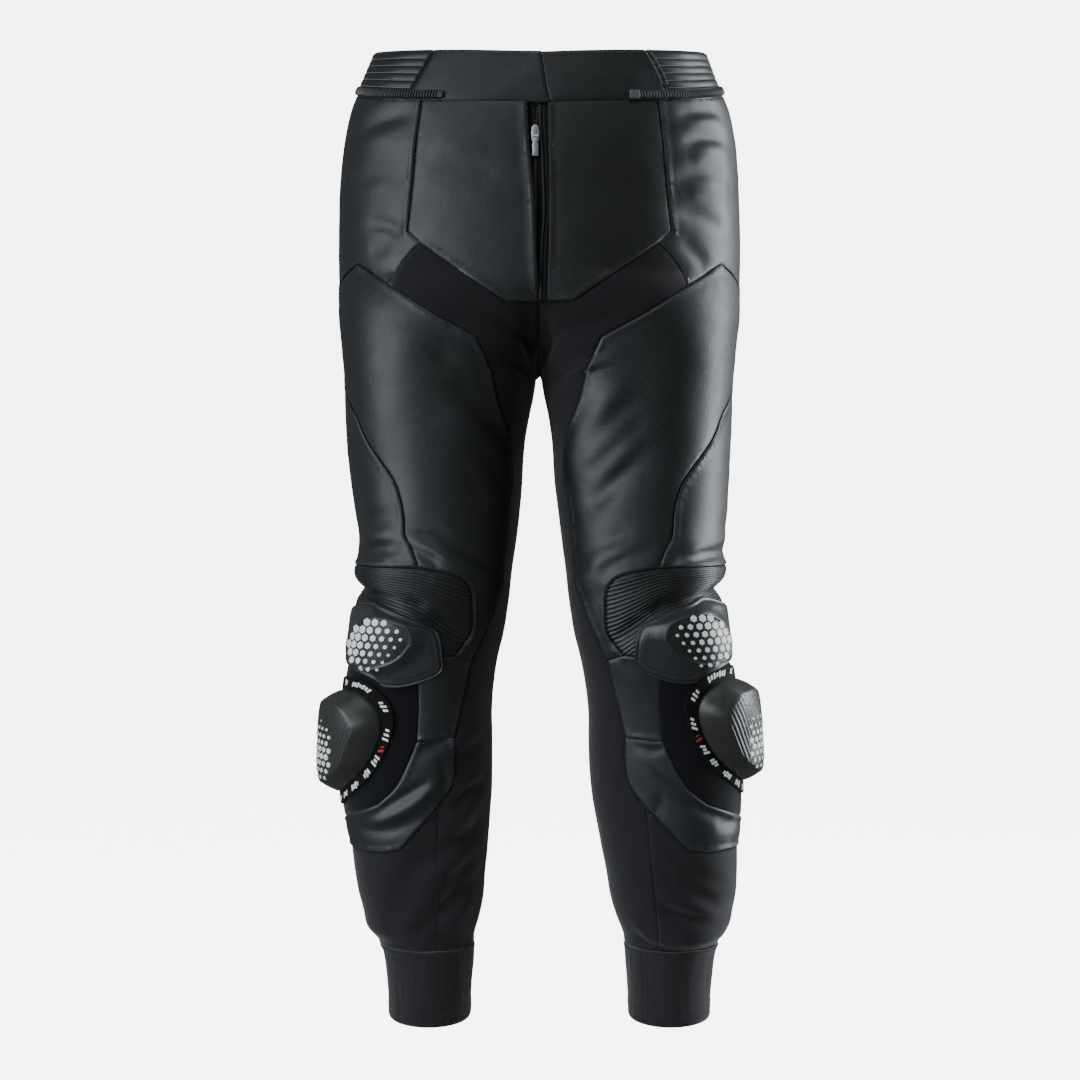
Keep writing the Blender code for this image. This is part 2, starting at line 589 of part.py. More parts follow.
# Outlines of the moulded parts, drawn on the form.
GUARD = (
    Round(181, -541), Seen(176, -526), Seen(155, -532), Seen(109, -552), Seen(100, -559), Seen(97, -577),
    Seen(98, -596), Seen(120, -607), Seen(140, -612), Seen(155, -611), Seen(166, -603), Round(161, -584),
    Round(172, -568), Round(181, -556),
)
SLIDER = (
    Round(148, -608), Seen(176, -615), Seen(162, -630), Seen(158, -648), Seen(166, -674), Seen(182, -697),
    Round(158, -709), Round(172, -706), Round(184, -692), Round(190, -664), Round(190, -636), Round(180, -617),
    Round(164, -608),
)
# Rings of (share of the outline, millimetres from the cloth).
GUARD_RINGS = (
    (0.3, 0), (0.55, 0), (0.78, 0), (0.97, 0), (1.0, 1.2), (0.99, 3.0), (0.93, 4.2), (0.88, 3.6), (0.76, 7.6),
    (0.63, 9.6), (0.6, 8.8), (0.3, 9.8),
)
SLIDER_RINGS = (
    (0.36, 0), (0.68, 0), (0.98, 0), (1.0, 1.5), (0.97, 5.0), (0.84, 13.0), (0.66, 19.5), (0.56, 21.5),
    (0.3, 23.0),
)
SLIDER_BASE_RINGS = (
    (0.36, 0), (0.68, 0), (0.98, 0), (1.24, 0), (1.25, 0.5), (1.22, 1.0), (0.98, 1.0), (0.68, 1.0), (0.36, 1.0),
)
SLIDER_BASE_LIFT = 1.3
SLIDER_BASE_THICKNESS = 1.0
# The left knee's guard and slider sit a little higher than the right's.
GUARD_RISE = {RIGHT: 0.0, LEFT: 4.0}
SLIDER_RISE = {RIGHT: -4.0, LEFT: 7.0}


def centre_of(places):
    return (places.min(axis=0) + places.max(axis=0)) / 2


def lifted(rings, lift):
    return [(share, lift + height) for share, height in rings]


def knee_relief(degrees, z):
    """Ribs across the knee: every second row of the panel's grid is raised."""
    return np.where(np.abs(z / KNEE_RIB_PITCH - np.round(z / KNEE_RIB_PITCH)) < 0.1, RIB_HEIGHT, 0.0)


def block(low, high):
    """The eight corners and six faces of a box."""
    xs, ys, zs = zip(low, high)
    points = np.array([[x, y, z] for x in xs for y in ys for z in zs])
    return points, [[0, 1, 3, 2], [4, 6, 7, 5], [0, 4, 5, 1], [2, 3, 7, 6], [0, 2, 6, 4], [1, 5, 7, 3]]


def cuff(side):
    angles = np.arange(0, 360, CUFF_COLUMN_STEP)
    slope = -np.cos(np.radians(angles - 90))
    top = CUFF_SEAM_Z + CUFF_SEAM_TILT * slope - SEAM_GAP
    foot = HEM_Z + HEM_TILT * slope
    heights = top[:, None] + (foot - top)[:, None] * np.linspace(0, 1, CUFF_ROWS)
    around = angles[:, None] + 0 * heights
    return grid_wall(on_form(side, around, heights), on_form(side, around, heights, -STRETCH_CLOTH), closed=True)


PLAIN_ROWS, PLAIN_RELIEF = (0, 0.5, 1), (0, 0, 0)  # rows of a band with no ribs, as shares of its height


def band_foot(angles):
    return height_at(WAIST_SEAM_HEIGHTS, angles) + BAND_FOOT_GAP


def band_top(angles):
    return height_at(BAND_TOP_HEIGHTS, angles)


def band_side(side):
    start, end = YOKE_WAIST_ANGLE + BAND_END_GAP, BAND_SIDE_END - BAND_END_GAP
    shares, relief = [0, BAND_RIBS_START], [0, 0]
    for rib in range(BAND_RIBS):
        shares += [BAND_RIBS_START + BAND_RIB_SHARE * (rib + half) for half in (0.5, 1)]
        relief += [RIB_HEIGHT, 0]
    ends = (start, end) if side == LEFT else (-end, -start)
    return waist_strip(*ends, band_foot, band_top, shares, LEATHER, relief)


def band_front(side):
    start, end = BAND_END_GAP, YOKE_WAIST_ANGLE - BAND_END_GAP
    ends = (start, end) if side == LEFT else (-end, -start)
    return waist_strip(*ends, band_foot, band_top, PLAIN_ROWS, LEATHER, PLAIN_RELIEF)


def band_back():
    start = BAND_SIDE_END + BAND_END_GAP
    return waist_strip(start, 360 - start, band_foot, band_top, PLAIN_ROWS, LEATHER, PLAIN_RELIEF)


def jacket_zip():
    """The strip that joins the jacket: round the back, over the foot of the band, from hip to hip."""
    angles = stations(JACKET_ZIP_ENDS[1], 360 + JACKET_ZIP_ENDS[0])
    rows = np.linspace(JACKET_ZIP_FOOT, JACKET_ZIP_TOP, len(JACKET_ZIP_FACE))
    heights = band_foot(angles)[:, None] + rows
    turned = (angles + 180) % 360 - 180
    outer = waist_points(turned, heights, np.array(JACKET_ZIP_FACE))
    return grid_wall(outer, waist_points(turned, heights, JACKET_ZIP_BACK), closed=False)


def jacket_zip_end(angle):
    """The small block that stops an end of the jacket zip."""
    angles = np.array([angle - ZIP_END_HALF_WIDTH, angle + ZIP_END_HALF_WIDTH])
    heights = band_foot(angles)[:, None] + np.array([ZIP_END_FOOT, ZIP_END_TOP])
    outer = waist_points(angles, heights, ZIP_END_FACE)
    return grid_wall(outer, waist_points(angles, heights, LAYER_GAP), closed=False)


FLY_DROP = 3.2  # the fly tape's face lies this far inside the leather's face
FLY_FOOT_Z, FLY_TOP_Z, FLY_ROWS = -196.0, -46.0, 9
FLY_CHAIN_RISE, FLY_TAPE_THICKNESS = 0.9, 0.8
FLY_COLUMNS = {-14: 0, -7.5: 0, -6.5: FLY_CHAIN_RISE, -2.5: FLY_CHAIN_RISE, -1.5: 0, 9: 0}  # x, and its rise
FLY_FRONT_RADIUS = 195  # how fast the form turns away from the middle plane in front


def fly_place(x, z, lift):
    """A point on the front of the form near the middle plane."""
    side = RIGHT if x < 0 else LEFT
    angle = math.degrees(math.atan2(abs(x), FLY_FRONT_RADIUS))
    point = on_form(side, round_of(angle, np.float64(z)), np.float64(z), np.float64(lift))
    return (x * MM, point[1], point[2])


def fly_tape():
    rows = np.linspace(FLY_FOOT_Z, FLY_TOP_Z, FLY_ROWS)
    outer = np.array([[fly_place(x, z, rise - FLY_DROP) for z in rows] for x, rise in FLY_COLUMNS.items()])
    inner = np.array([[fly_place(x, z, -FLY_DROP - FLY_TAPE_THICKNESS) for z in rows] for x in FLY_COLUMNS])
    return grid_wall(outer, inner, closed=False)


# The fly's slider, a block with two cheeks and a bar that the pull tab hangs on. Millimetres from its pivot.
SLIDER_X, PIVOT_Z = -4.5, -77.0
PIVOT_FORWARD = 4.8  # the bar's centre in front of the tape's chain
BAR_RADIUS, EYE_BORE, EYE_RADIUS = 0.6, 0.68, 1.5
BAR_HALF, CHEEK_INNER, CHEEK_OUTER = 2.4, 2.0, 3.0  # the bar ends inside its cheeks
CHEEK_TOP, CHEEK_HALF, CHEEK_CORNER = 1.4, 1.4, 0.8
BODY_HALF, BODY_FOOT, BODY_TOP, BODY_CLEAR = 4.0, -3.0, 11.0, 0.4  # it stops just short of the chain
EYE_CLEAR = 0.3  # from the tab's eye to the body's face
NECK_HALF, NECK_FOOT, NECK_JOIN = 1.8, -8.0, 0.45
TAB_HALF, TAB_TOP, TAB_FOOT, TAB_HALF_THICKNESS = 2.9, -6.0, -19.0, 0.6


def pivot():
    x, y, z = fly_place(SLIDER_X, PIVOT_Z, FLY_CHAIN_RISE - FLY_DROP)
    return np.array([x, y - PIVOT_FORWARD * MM, z])


def turned_profile(profile, x_low, x_high):
    """A prism along x over a closed profile of (y, z) points."""
    n = len(profile)
    points = np.array([[x, y, z] for x in (x_low, x_high) for y, z in profile])
    faces = [[i, (i + 1) % n, n + (i + 1) % n, n + i] for i in range(n)]
    return points, faces + [list(range(n)), list(range(n, 2 * n))]


def circle(radius, count):
    turns = np.arange(count) / count * 2 * math.pi
    return np.stack([radius * np.cos(turns), radius * np.sin(turns)], axis=-1)


def tube_along_x(x_low, x_high, outer, bore, count=16):
    """A short tube round the pivot."""
    rings = [(x_low, bore), (x_low, outer), (x_high, outer), (x_high, bore)]
    points = np.array([[x, y, z] for x, r in rings for y, z in circle(r, count)])
    faces = []
    for k in range(4):
        m = (k + 1) % 4
        for c in range(count):
            d = (c + 1) % count
            faces.append([k * count + c, k * count + d, m * count + d, m * count + c])
    return points, faces


def joined(name, pieces, collection, material):
    """One closed body from overlapping pieces of (points, faces)."""
    helpers = [add_object(f"{name}_{i}", *piece, collection, material) for i, piece in enumerate(pieces)]
    whole = helpers[0]
    for other in helpers[1:]:
        union = whole.modifiers.new("Union", "BOOLEAN")
        union.operation, union.object, union.solver = "UNION", other, "EXACT"
    bpy.context.view_layer.update()
    evaluated = whole.evaluated_get(bpy.context.evaluated_depsgraph_get())
    mesh = bpy.data.meshes.new_from_object(evaluated)
    mesh.name = name
    obj = bpy.data.objects.new(name, mesh)
    collection.objects.link(obj)
    for helper in helpers:
        bpy.data.objects.remove(helper, do_unlink=True)
    return obj


def placed_at_pivot(piece):
    points, faces = piece
    return points * MM + pivot(), faces


def fly_slider_pieces():
    face, back = EYE_RADIUS + EYE_CLEAR, PIVOT_FORWARD - BODY_CLEAR
    half_cheek = [(face + 0.5, CHEEK_HALF), (-0.9, CHEEK_HALF), (-CHEEK_TOP, CHEEK_HALF - CHEEK_CORNER)]
    cheek = [(y, -z) for y, z in half_cheek] + half_cheek[::-1]
    pieces = [
        block((-BODY_HALF, face, BODY_FOOT), (BODY_HALF, back, BODY_TOP)),
        turned_profile(cheek, -CHEEK_OUTER, -CHEEK_INNER),
        turned_profile(cheek, CHEEK_INNER, CHEEK_OUTER),
        turned_profile([tuple(p) for p in circle(BAR_RADIUS, 16)], -BAR_HALF, BAR_HALF),
    ]
    return [placed_at_pivot(p) for p in pieces]


def pull_tab_pieces():
    half = TAB_HALF_THICKNESS
    pieces = [
        tube_along_x(-NECK_HALF, NECK_HALF, EYE_RADIUS, EYE_BORE),
        block((-NECK_HALF, -half, NECK_FOOT), (NECK_HALF, half, -EYE_BORE - NECK_JOIN)),
        block((-TAB_HALF, -half, TAB_FOOT), (TAB_HALF, half, TAB_TOP)),
    ]
    return [placed_at_pivot(p) for p in pieces]


def add_object(name, points, faces, collection, material):
    mesh = bpy.data.meshes.new(name)
    mesh.from_pydata([tuple(p) for p in points], [], [tuple(int(i) for i in f) for f in faces])
    bm = bmesh.new()
    bm.from_mesh(mesh)
    bmesh.ops.recalc_face_normals(bm, faces=bm.faces)
    bm.to_mesh(mesh)
    bm.free()
    mesh.materials.append(material)
    obj = bpy.data.objects.new(name, mesh)
    collection.objects.link(obj)
    return obj


def new_material(name, colour, roughness, metallic=0.0):
    material = bpy.data.materials.new(name)
    material.use_nodes = True
    shader = material.node_tree.nodes["Principled BSDF"]
    shader.inputs["Base Color"].default_value = (*colour, 1.0)
    shader.inputs["Roughness"].default_value = roughness
    shader.inputs["Metallic"].default_value = metallic
    material.diffuse_color = (*colour, 1.0)
    return material


LOOKS = {
    "leather": ((0.030, 0.034, 0.038), 0.45, 0.0),
    "ribbed leather": ((0.024, 0.027, 0.030), 0.50, 0.0),
    "stretch cloth": ((0.016, 0.014, 0.019), 0.85, 0.0),
    "pile cloth": ((0.010, 0.011, 0.018), 0.95, 0.0),
    "moulded": ((0.026, 0.028, 0.030), 0.38, 0.0),
    "tape": ((0.012, 0.012, 0.013), 0.80, 0.0),
    "metal": ((0.62, 0.63, 0.65), 0.28, 1.0),
}

CLOTH_PIECES = (  # piece, look, wall
    ("outer_side", "leather", LEATHER),
    ("thigh_front", "leather", LEATHER),
    ("seat_and_thigh_back", "leather", LEATHER),
    ("shin_upper", "leather", LEATHER),
    ("shin_lower", "leather", LEATHER),
    ("slider_patch", "pile cloth", PILE_CLOTH),
    ("inner_stretch", "stretch cloth", STRETCH_CLOTH),
    ("calf_front", "stretch cloth", STRETCH_CLOTH),
    ("calf_back", "stretch cloth", STRETCH_CLOTH),
)


def main():
    for obj in list(bpy.data.objects):
        bpy.data.objects.remove(obj, do_unlink=True)
    trousers = bpy.data.collections.new("motorcycle_trousers")
    bpy.context.scene.collection.children.link(trousers)

    def add(name, piece, look):
        return add_object(name, *piece, trousers, new_material(name, *LOOKS[look]))

    for side, called in SIDE_NAMES.items():
        for piece, look, wall in CLOTH_PIECES:
            add(f"{piece}_{called}", cloth_panel(side, PANELS[piece], wall), look)
        add(f"yoke_front_{called}", cloth_panel(side, PANELS[f"yoke_front_{called}"], LEATHER), "leather")
        knee = cloth_panel(
            side, PANELS["knee_stretch"], LEATHER, COLUMN_STEP, KNEE_RIB_PITCH / 2, 0.9, knee_relief
        )
        add(f"knee_stretch_{called}", knee, "ribbed leather")
        add(f"cuff_{called}", cuff(side), "stretch cloth")
        add(f"waistband_front_{called}", band_front(side), "leather")
        add(f"waistband_side_{called}", band_side(side), "ribbed leather")
        guard = np.array([placed(p) for p in GUARD]) + (0, GUARD_RISE[side])
        stack = ring_stack(side, guard, centre_of(guard), lifted(GUARD_RINGS, HARD_LIFT))
        add(f"knee_guard_{called}", stack, "moulded")
        slider = np.array([placed(p) for p in SLIDER]) + (0, SLIDER_RISE[side])
        base = ring_stack(side, slider, centre_of(slider), lifted(SLIDER_BASE_RINGS, SLIDER_BASE_LIFT))
        add(f"slider_base_{called}", base, "tape")
        above = SLIDER_BASE_LIFT + SLIDER_BASE_THICKNESS + LAYER_GAP
        stack = ring_stack(side, slider, centre_of(slider), lifted(SLIDER_RINGS, above))
        add(f"knee_slider_{called}", stack, "moulded")

    add("waistband_back", band_back(), "leather")
    add("jacket_zip", jacket_zip(), "tape")
    for (side, called), end in zip(SIDE_NAMES.items(), JACKET_ZIP_ENDS):
        add(f"jacket_zip_end_{called}", jacket_zip_end(end - side * ZIP_END_INSET), "tape")
    add("fly_zip_tape", fly_tape(), "tape")
    for name, pieces in (("fly_zip_slider", fly_slider_pieces()), ("fly_pull_tab", pull_tab_pieces())):
        joined(name, pieces, trousers, new_material(name, *LOOKS["metal"]))


if __name__ == "__main__":
    main()
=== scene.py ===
# %% [markdown]
# # Leather motorcycle trousers
#
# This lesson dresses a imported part: motorcycle trousers in their worn shape, with no wearer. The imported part
# gives the solids that a physics engine uses. Here every panel of leather and stretch cloth is cut again as a
# finer shell on the same form, and gets its creases, seams, stitches and finish.

import math
from collections import namedtuple
from functools import cache

import bmesh
import bpy
import numpy as np
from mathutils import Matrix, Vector, noise
from mathutils.kdtree import KDTree


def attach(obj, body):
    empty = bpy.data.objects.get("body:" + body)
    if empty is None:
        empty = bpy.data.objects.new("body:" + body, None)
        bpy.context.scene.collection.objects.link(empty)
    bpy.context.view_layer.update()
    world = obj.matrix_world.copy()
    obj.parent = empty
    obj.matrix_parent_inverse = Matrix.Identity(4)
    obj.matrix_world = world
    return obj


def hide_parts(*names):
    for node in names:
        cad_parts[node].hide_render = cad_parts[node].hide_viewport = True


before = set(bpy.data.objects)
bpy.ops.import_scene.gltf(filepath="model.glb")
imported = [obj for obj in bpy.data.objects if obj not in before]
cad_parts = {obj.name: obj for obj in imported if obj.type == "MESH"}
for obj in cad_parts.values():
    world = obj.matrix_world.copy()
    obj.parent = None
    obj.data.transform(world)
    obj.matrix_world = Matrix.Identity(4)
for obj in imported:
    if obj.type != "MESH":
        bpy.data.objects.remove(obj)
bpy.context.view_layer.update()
print("nodes in the packed part:", len(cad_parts))

# %% [markdown]
# ## The worn form
#
# Trousers that are filled out can be thought of as two tubes. Each tube is a stack of rounded sections, one for
# each height, and the two tubes meet on the middle plane above the crotch. A place on the cloth is then two
# numbers: how far round the tube it lies, and how high. All panels share this one form, so they meet at their
# seams without any fitting. Lengths are in millimetres here, because a maker thinks in them, and become metres
# only when a mesh gets its points.

# %% The sections of a leg
MM = 0.001
RIGHT, LEFT = -1, 1  # the wearer's right leg is on the -X side
SIDES = {RIGHT: "right", LEFT: "left"}
CROTCH_Z = -303.0
FORK_START_Z = -205.0
FORK_POWER = 1.6
SIGHT_DISTANCE, SIGHT_HEIGHT = 3200.0, -465.0  # where the front view is seen from

Section = namedtuple("Section", "z outer inner front back squareness")
SECTIONS = (
    Section(60, 160, 0, -100, 104, 2.3),
    Section(19, 166, 0, -108, 112, 2.3),
    Section(-5, 175, 0, -113, 118, 2.3),
    Section(-25, 184, 0, -117, 123, 2.3),
    Section(-65, 194, 0, -124, 133, 2.3),
    Section(-101, 198, 0, -128, 141, 2.3),
    Section(-150, 200, 0, -131, 147, 2.3),
    Section(-209, 200, 0, -132, 145, 2.4),
    Section(-245, 199, 0, -131, 138, 2.6),
    Section(-269, 196, 0, -130, 130, 2.7),
    Section(-303, 193, 0, -128, 116, 2.7),
    Section(-317, 192, 2, -128, 110, 2.6),
    Section(-341, 191, 7, -128, 101, 2.5),
    Section(-365, 190, 11, -129, 92, 2.4),
    Section(-413, 186, 16, -131, 74, 2.3),
    Section(-437, 183, 19, -132, 64, 2.3),
    Section(-461, 179, 22, -133, 55, 2.3),
    Section(-491, 180, 26, -134, 43, 2.3),
    Section(-521, 180, 29, -132, 36, 2.3),
    Section(-557, 184, 35, -124, 36, 2.3),
    Section(-581, 188, 41, -116, 40, 2.3),
    Section(-605, 192, 45, -108, 47, 2.3),
    Section(-635, 195, 48, -99, 57, 2.3),
    Section(-665, 197, 48, -91, 64, 2.3),
    Section(-700, 199, 49, -83, 71, 2.3),
    Section(-725, 199, 51, -77, 75, 2.3),
    Section(-749, 197, 54, -71, 78, 2.2),
    Section(-773, 193, 57, -65, 79, 2.2),
    Section(-797, 191, 61, -59, 79, 2.2),
    Section(-821, 188, 64, -53, 78, 2.2),
    Section(-845, 181, 70, -46, 75, 2.2),
    Section(-857, 175, 74, -41, 72, 2.1),
    Section(-869, 169, 76, -37, 69, 2.1),
    Section(-881, 166, 76, -35, 67, 2.1),
    Section(-905, 163, 78, -32, 65, 2.1),
    Section(-960, 160, 80, -27, 63, 2.1),
)
# Both lower legs stand a little to the wearer's left of an even stance.
LEAN_LEVELS = (-960, -920, -880, -840, -800, -760, -720, -680, -640, 60)
LEAN = (9.5, 9.5, 9.5, 8, 6, 4, 2, 0.5, 0, 0)
# Heights round the waist, by angle from the centre front to the centre back.
WAIST_ANGLES = (0, 45, 90, 135, 180)
WAIST_SEAM_HEIGHTS = (-44, -37, -21, -12, -8)
BAND_TOP_HEIGHTS = (7, 13, 22, 33, 39)
CUFF_SEAM_Z, CUFF_SEAM_TILT = -868.0, 4.0  # the front of the ring is lower than its back by twice the tilt
HEM_Z, HEM_TILT = -940.0, 8.5


def hermite(knots, values, slopes, at):
    """A smooth curve through the rows of a table with given slopes, read at any places."""
    at = np.clip(at, knots[0], knots[-1])
    i = np.clip(np.searchsorted(knots, at) - 1, 0, len(knots) - 2)
    span = knots[i + 1] - knots[i]
    t = (at - knots[i]) / span
    start = (1 + 2 * t) * (1 - t) ** 2 * values[i] + t * (1 - t) ** 2 * span * slopes[i]
    end = t * t * (3 - 2 * t) * values[i + 1] + t * t * (t - 1) * span * slopes[i + 1]
    return start + end


def through(knots, values, at):
    knots, values = np.asarray(knots, float), np.asarray(values, float)
    return hermite(knots, values, np.gradient(values, knots), at)


SECTION_COLUMNS = np.array(sorted(SECTIONS)).T


def section(z):
    """outer, inner, front, back, squareness and fork share at heights z."""
    levels = SECTION_COLUMNS[0]
    outer, inner, front, back, power = (through(levels, column, z) for column in SECTION_COLUMNS[1:])
    fork = np.clip((FORK_START_Z - z) / (FORK_START_Z - CROTCH_Z), 0, 1)
    share = 1 - (1 - fork) ** FORK_POWER
    inner = np.where(z > CROTCH_Z, outer * (share - 1) / (1 + share), np.maximum(inner, 0))
    return outer, inner, front, back, power, share


def front_edge_angle(power, share):
    height = np.maximum(1 - share**power, 0) ** (1 / power)
    return -np.degrees(np.arctan2(share, height))


def angle_of(degrees, z):
    """The section's own angle, 0 at its front and 90 outside, of places given by their way round the form."""
    *_, power, share = section(z)
    edge = front_edge_angle(power, share)
    degrees = np.where(degrees < 0, degrees + 360, degrees)
    return edge + degrees / 360 * (180 - 2 * edge)


def round_of(angle, z):
    *_, power, share = section(z)
    edge = front_edge_angle(power, share)
    return (angle - edge) / (180 - 2 * edge) * 360


def bare_point(angle, z):
    """x, y, z of the smooth form on the wearer's left."""
    outer, inner, front, back, power, _ = section(z)
    across, along = np.sin(np.radians(angle)), np.cos(np.radians(angle))
    size = (np.abs(across) ** power + np.abs(along) ** power) ** (-1 / power)
    x = (outer + inner) / 2 + (outer - inner) / 2 * across * size
    y = (front + back) / 2 + (front - back) / 2 * along * size
    return np.stack([x, y, z + 0 * x], axis=-1)


def normal_at(angle, z):
    sideways = bare_point(angle + 0.5, z) - bare_point(angle - 0.5, z)
    upward = bare_point(angle, z + 0.5) - bare_point(angle, z - 0.5)
    normal = np.cross(sideways, upward)
    return normal / np.linalg.norm(normal, axis=-1, keepdims=True)


def reach_along(points):
    """How far along a line each of its points lies."""
    return np.concatenate([[0], np.cumsum(np.linalg.norm(np.diff(points, axis=0), axis=1))])


HIP_Z = -209.0
half_hip = bare_point(np.linspace(0, 180, 200), np.full(200, HIP_Z))
print("girth at the hips, mm:", round(2 * reach_along(half_hip)[-1]))

# %% [markdown]
# ## Folds
#
# Leather that has been worn keeps soft troughs and ridges where the body bends: above and behind the knee, down
# the thigh and the shin, and over the cuff. Each is a line on the form with a width and a depth. A bell-shaped
# profile across the line gives a soft crease, and the depth fades towards both ends so that none looks ruled.
# A cloth simulation could make such folds too, but these have to lie where the photograph shows them.

# %% The large folds, placed one by one
PATTERN_SCALE = 1.5  # millimetres of flat pattern for each degree round the form
FOLD_END = 0.35  # share of a fold's depth that is left at its ends
Fold = namedtuple("Fold", "round_a z_a round_b z_b width depth")
SHARED_FOLDS = (
    Fold(212, -505, 98, -529, 8, 10.0),  # the pinch between the two rolls of the knee's ribbed leather
    Fold(104, -527, 60, -563, 8, 7.0),
    Fold(190, -492, 110, -497, 12, -4.0),
    Fold(120, -474, 20, -512, 14, -4.5),  # thigh leather that hangs over the knee
    Fold(250, -520, 340, -560, 14, 6.0),  # behind the knee
    Fold(345, -545, 262, -590, 13, 5.5),
    Fold(100, -857, 200, -846, 10, -4.0),  # the calf's cloth bellies over the cuff
)
RIGHT_FOLDS = (
    Fold(150, -385, 165, -475, 30, 6.5),
    Fold(70, -330, 30, -390, 20, 4.0),
    Fold(48, -690, 118, -845, 16, 4.5),
    Fold(28, -745, 80, -868, 14, 4.0),
)
LEFT_FOLDS = (
    Fold(165, -415, 172, -500, 26, -3.0),
    Fold(80, -345, 32, -400, 18, -4.5),
    Fold(95, -380, 40, -440, 18, 4.0),
    Fold(70, -800, 170, -848, 16, 4.5),
)


def bell(off):
    return np.exp(-(off**2))


def fold_height(folds, degrees, z):
    """How far the folds move the cloth out, in millimetres."""
    degrees, z = np.broadcast_arrays(degrees, z)
    place = np.stack([degrees * PATTERN_SCALE, z], axis=-1)
    height = np.zeros(degrees.shape)
    for f in folds:
        start = np.array([f.round_a * PATTERN_SCALE, f.z_a])
        way = np.array([f.round_b * PATTERN_SCALE, f.z_b]) - start
        share = np.clip((place - start) @ way / (way @ way), 0, 1)
        off = np.linalg.norm(place - start - share[..., None] * way, axis=-1)
        fade = FOLD_END + (1 - FOLD_END) * np.sin(np.pi * share)
        height -= f.depth * bell(off / f.width) * fade
    return height


def on_form(side, degrees, z, lift=0.0):
    """Points in metres at places (degrees round, z) of one side, moved out by lift millimetres."""
    degrees, z = np.asarray(degrees, float), np.asarray(z, float)
    folds = SHARED_FOLDS + (RIGHT_FOLDS if side == RIGHT else LEFT_FOLDS)
    wrapped = np.where((degrees < 0) & (z < CROTCH_Z), degrees + 360, degrees)
    fold = fold_height(folds, degrees, z) + np.where(wrapped != degrees, fold_height(folds, wrapped, z), 0)
    angle = angle_of(degrees, z)
    points = bare_point(angle, z) + normal_at(angle, z) * (lift + fold)[..., None]
    points[..., 0] = side * points[..., 0] + through(LEAN_LEVELS, LEAN, z)
    return points * MM


# %% [markdown]
# ## Seams
#
# A panel is known by the seams round it, and each seam belongs to two panels. So the seams come first, as short
# rows of points. `Seen` gives a point as it shows from the front, in real millimetres, and `Round` gives one on a
# side that the front view hides.

# %% Reading a seam
Seen = namedtuple("Seen", "x z")
Round = namedtuple("Round", "degrees z")
SEAM_STEP = 4.0


def placed(point):
    """(degrees round, z) of a seam point. One that is seen is moved from the plane of the drawing to the form."""
    if isinstance(point, Round):
        return point.degrees, point.z
    x, z, y = point.x, point.z, 0.0
    for _ in range(6):
        nearer = 1 + y / SIGHT_DISTANCE
        x, z = point.x * nearer, SIGHT_HEIGHT + (point.z - SIGHT_HEIGHT) * nearer
        outer, inner, _, _, power, _ = section(np.float64(z))
        across = np.clip((x - (outer + inner) / 2) / ((outer - inner) / 2), -1, 1)
        along = (1 - abs(across) ** power) ** (1 / power)
        angle = math.degrees(math.atan2(across, along))
        y = bare_point(angle, np.float64(z))[1]
    return float(round_of(angle, z)), float(z)


def seam(*points):
    """A smooth seam through points, as places on the form about 4 mm apart."""
    places = np.array([placed(p) for p in points])
    drawn = np.array([p if isinstance(p, Seen) else (math.nan, math.nan) for p in points])
    knots = np.arange(len(places))
    pieces = [places[:1]]
    for i in range(len(places) - 1):
        length = math.dist(places[i] * (PATTERN_SCALE, 1), places[i + 1] * (PATTERN_SCALE, 1))
        at = np.linspace(i, i + 1, max(int(length / SEAM_STEP), 1) + 1)[1:]
        if not np.isnan(drawn[i : i + 2]).any():
            first, last = i, i + 1  # the run of seen points round this stretch
            while first > 0 and not math.isnan(drawn[first - 1, 0]):
                first -= 1
            while last < len(drawn) - 1 and not math.isnan(drawn[last + 1, 0]):
                last += 1
            run = slice(first, last + 1)
            seen = np.stack([curve(knots[run], drawn[run, k], at) for k in (0, 1)], axis=-1)
            between = [placed(Seen(*s)) for s in seen[:-1]]
            pieces.append(np.array(between + [tuple(places[i + 1])]))
        else:
            pieces.append(np.stack([curve(knots, places[:, k], at) for k in (0, 1)], axis=-1))
    return np.concatenate(pieces)


def curve(knots, values, at):
    return through(knots, values, at) if len(knots) > 2 else np.interp(at, knots, values)


TOUCHING, TOO_CLOSE = 1e-6, 0.05  # two ends are the same point, and two points are one


def outline(*seams):
    """One closed outline from seams that follow each other, each turned round where it has to be."""
    whole = [seams[0]]
    if min(math.dist(seams[0][0], end) for end in (seams[1][0], seams[1][-1])) < TOUCHING:
        whole = [seams[0][::-1]]
    for s in seams[1:]:
        last = whole[-1][-1]
        whole.append(s if math.dist(s[0], last) <= math.dist(s[-1], last) else s[::-1])
    points = np.concatenate(whole)
    keep = [i for i in range(len(points)) if math.dist(points[i], points[i - 1]) > TOO_CLOSE]
    return points[keep]


# %% The seams of one side
SIDE_BACK_WAIST = 232.0
SIDE_BACK_LEG = 214.0
INNER_BACK_LEG = -52.0
BACK_LEATHER_END_Z = -600.0
GUSSET_BACK_Z = -250.0


def waist_line(heights, start, end, count):
    """A stretch of the waist seam or of the band's top edge, between two angles from the centre front."""
    angles = np.linspace(start, end, count)
    z = through(WAIST_ANGLES, heights, angles)
    return np.stack([round_of(angles, z), z], axis=-1)


def ring(z_middle, tilt, start, end, count):
    """A stretch of a ring round the lower leg, lower in front."""
    degrees = np.linspace(start, end, count)
    return np.stack([degrees, z_middle - tilt * np.cos(np.radians(degrees - 90))], axis=-1)


YOKE_WAIST_ANGLE = float(angle_of(*placed(Seen(119, -26))))
SIDE_BACK_ANGLE = SIDE_BACK_WAIST / 2


def on_waist(angle):
    return Round(*waist_line(WAIST_SEAM_HEIGHTS, angle, angle, 1)[0])


def cuff_seam_at(degrees):
    return Round(degrees, CUFF_SEAM_Z - CUFF_SEAM_TILT * math.cos(math.radians(degrees - 90)))


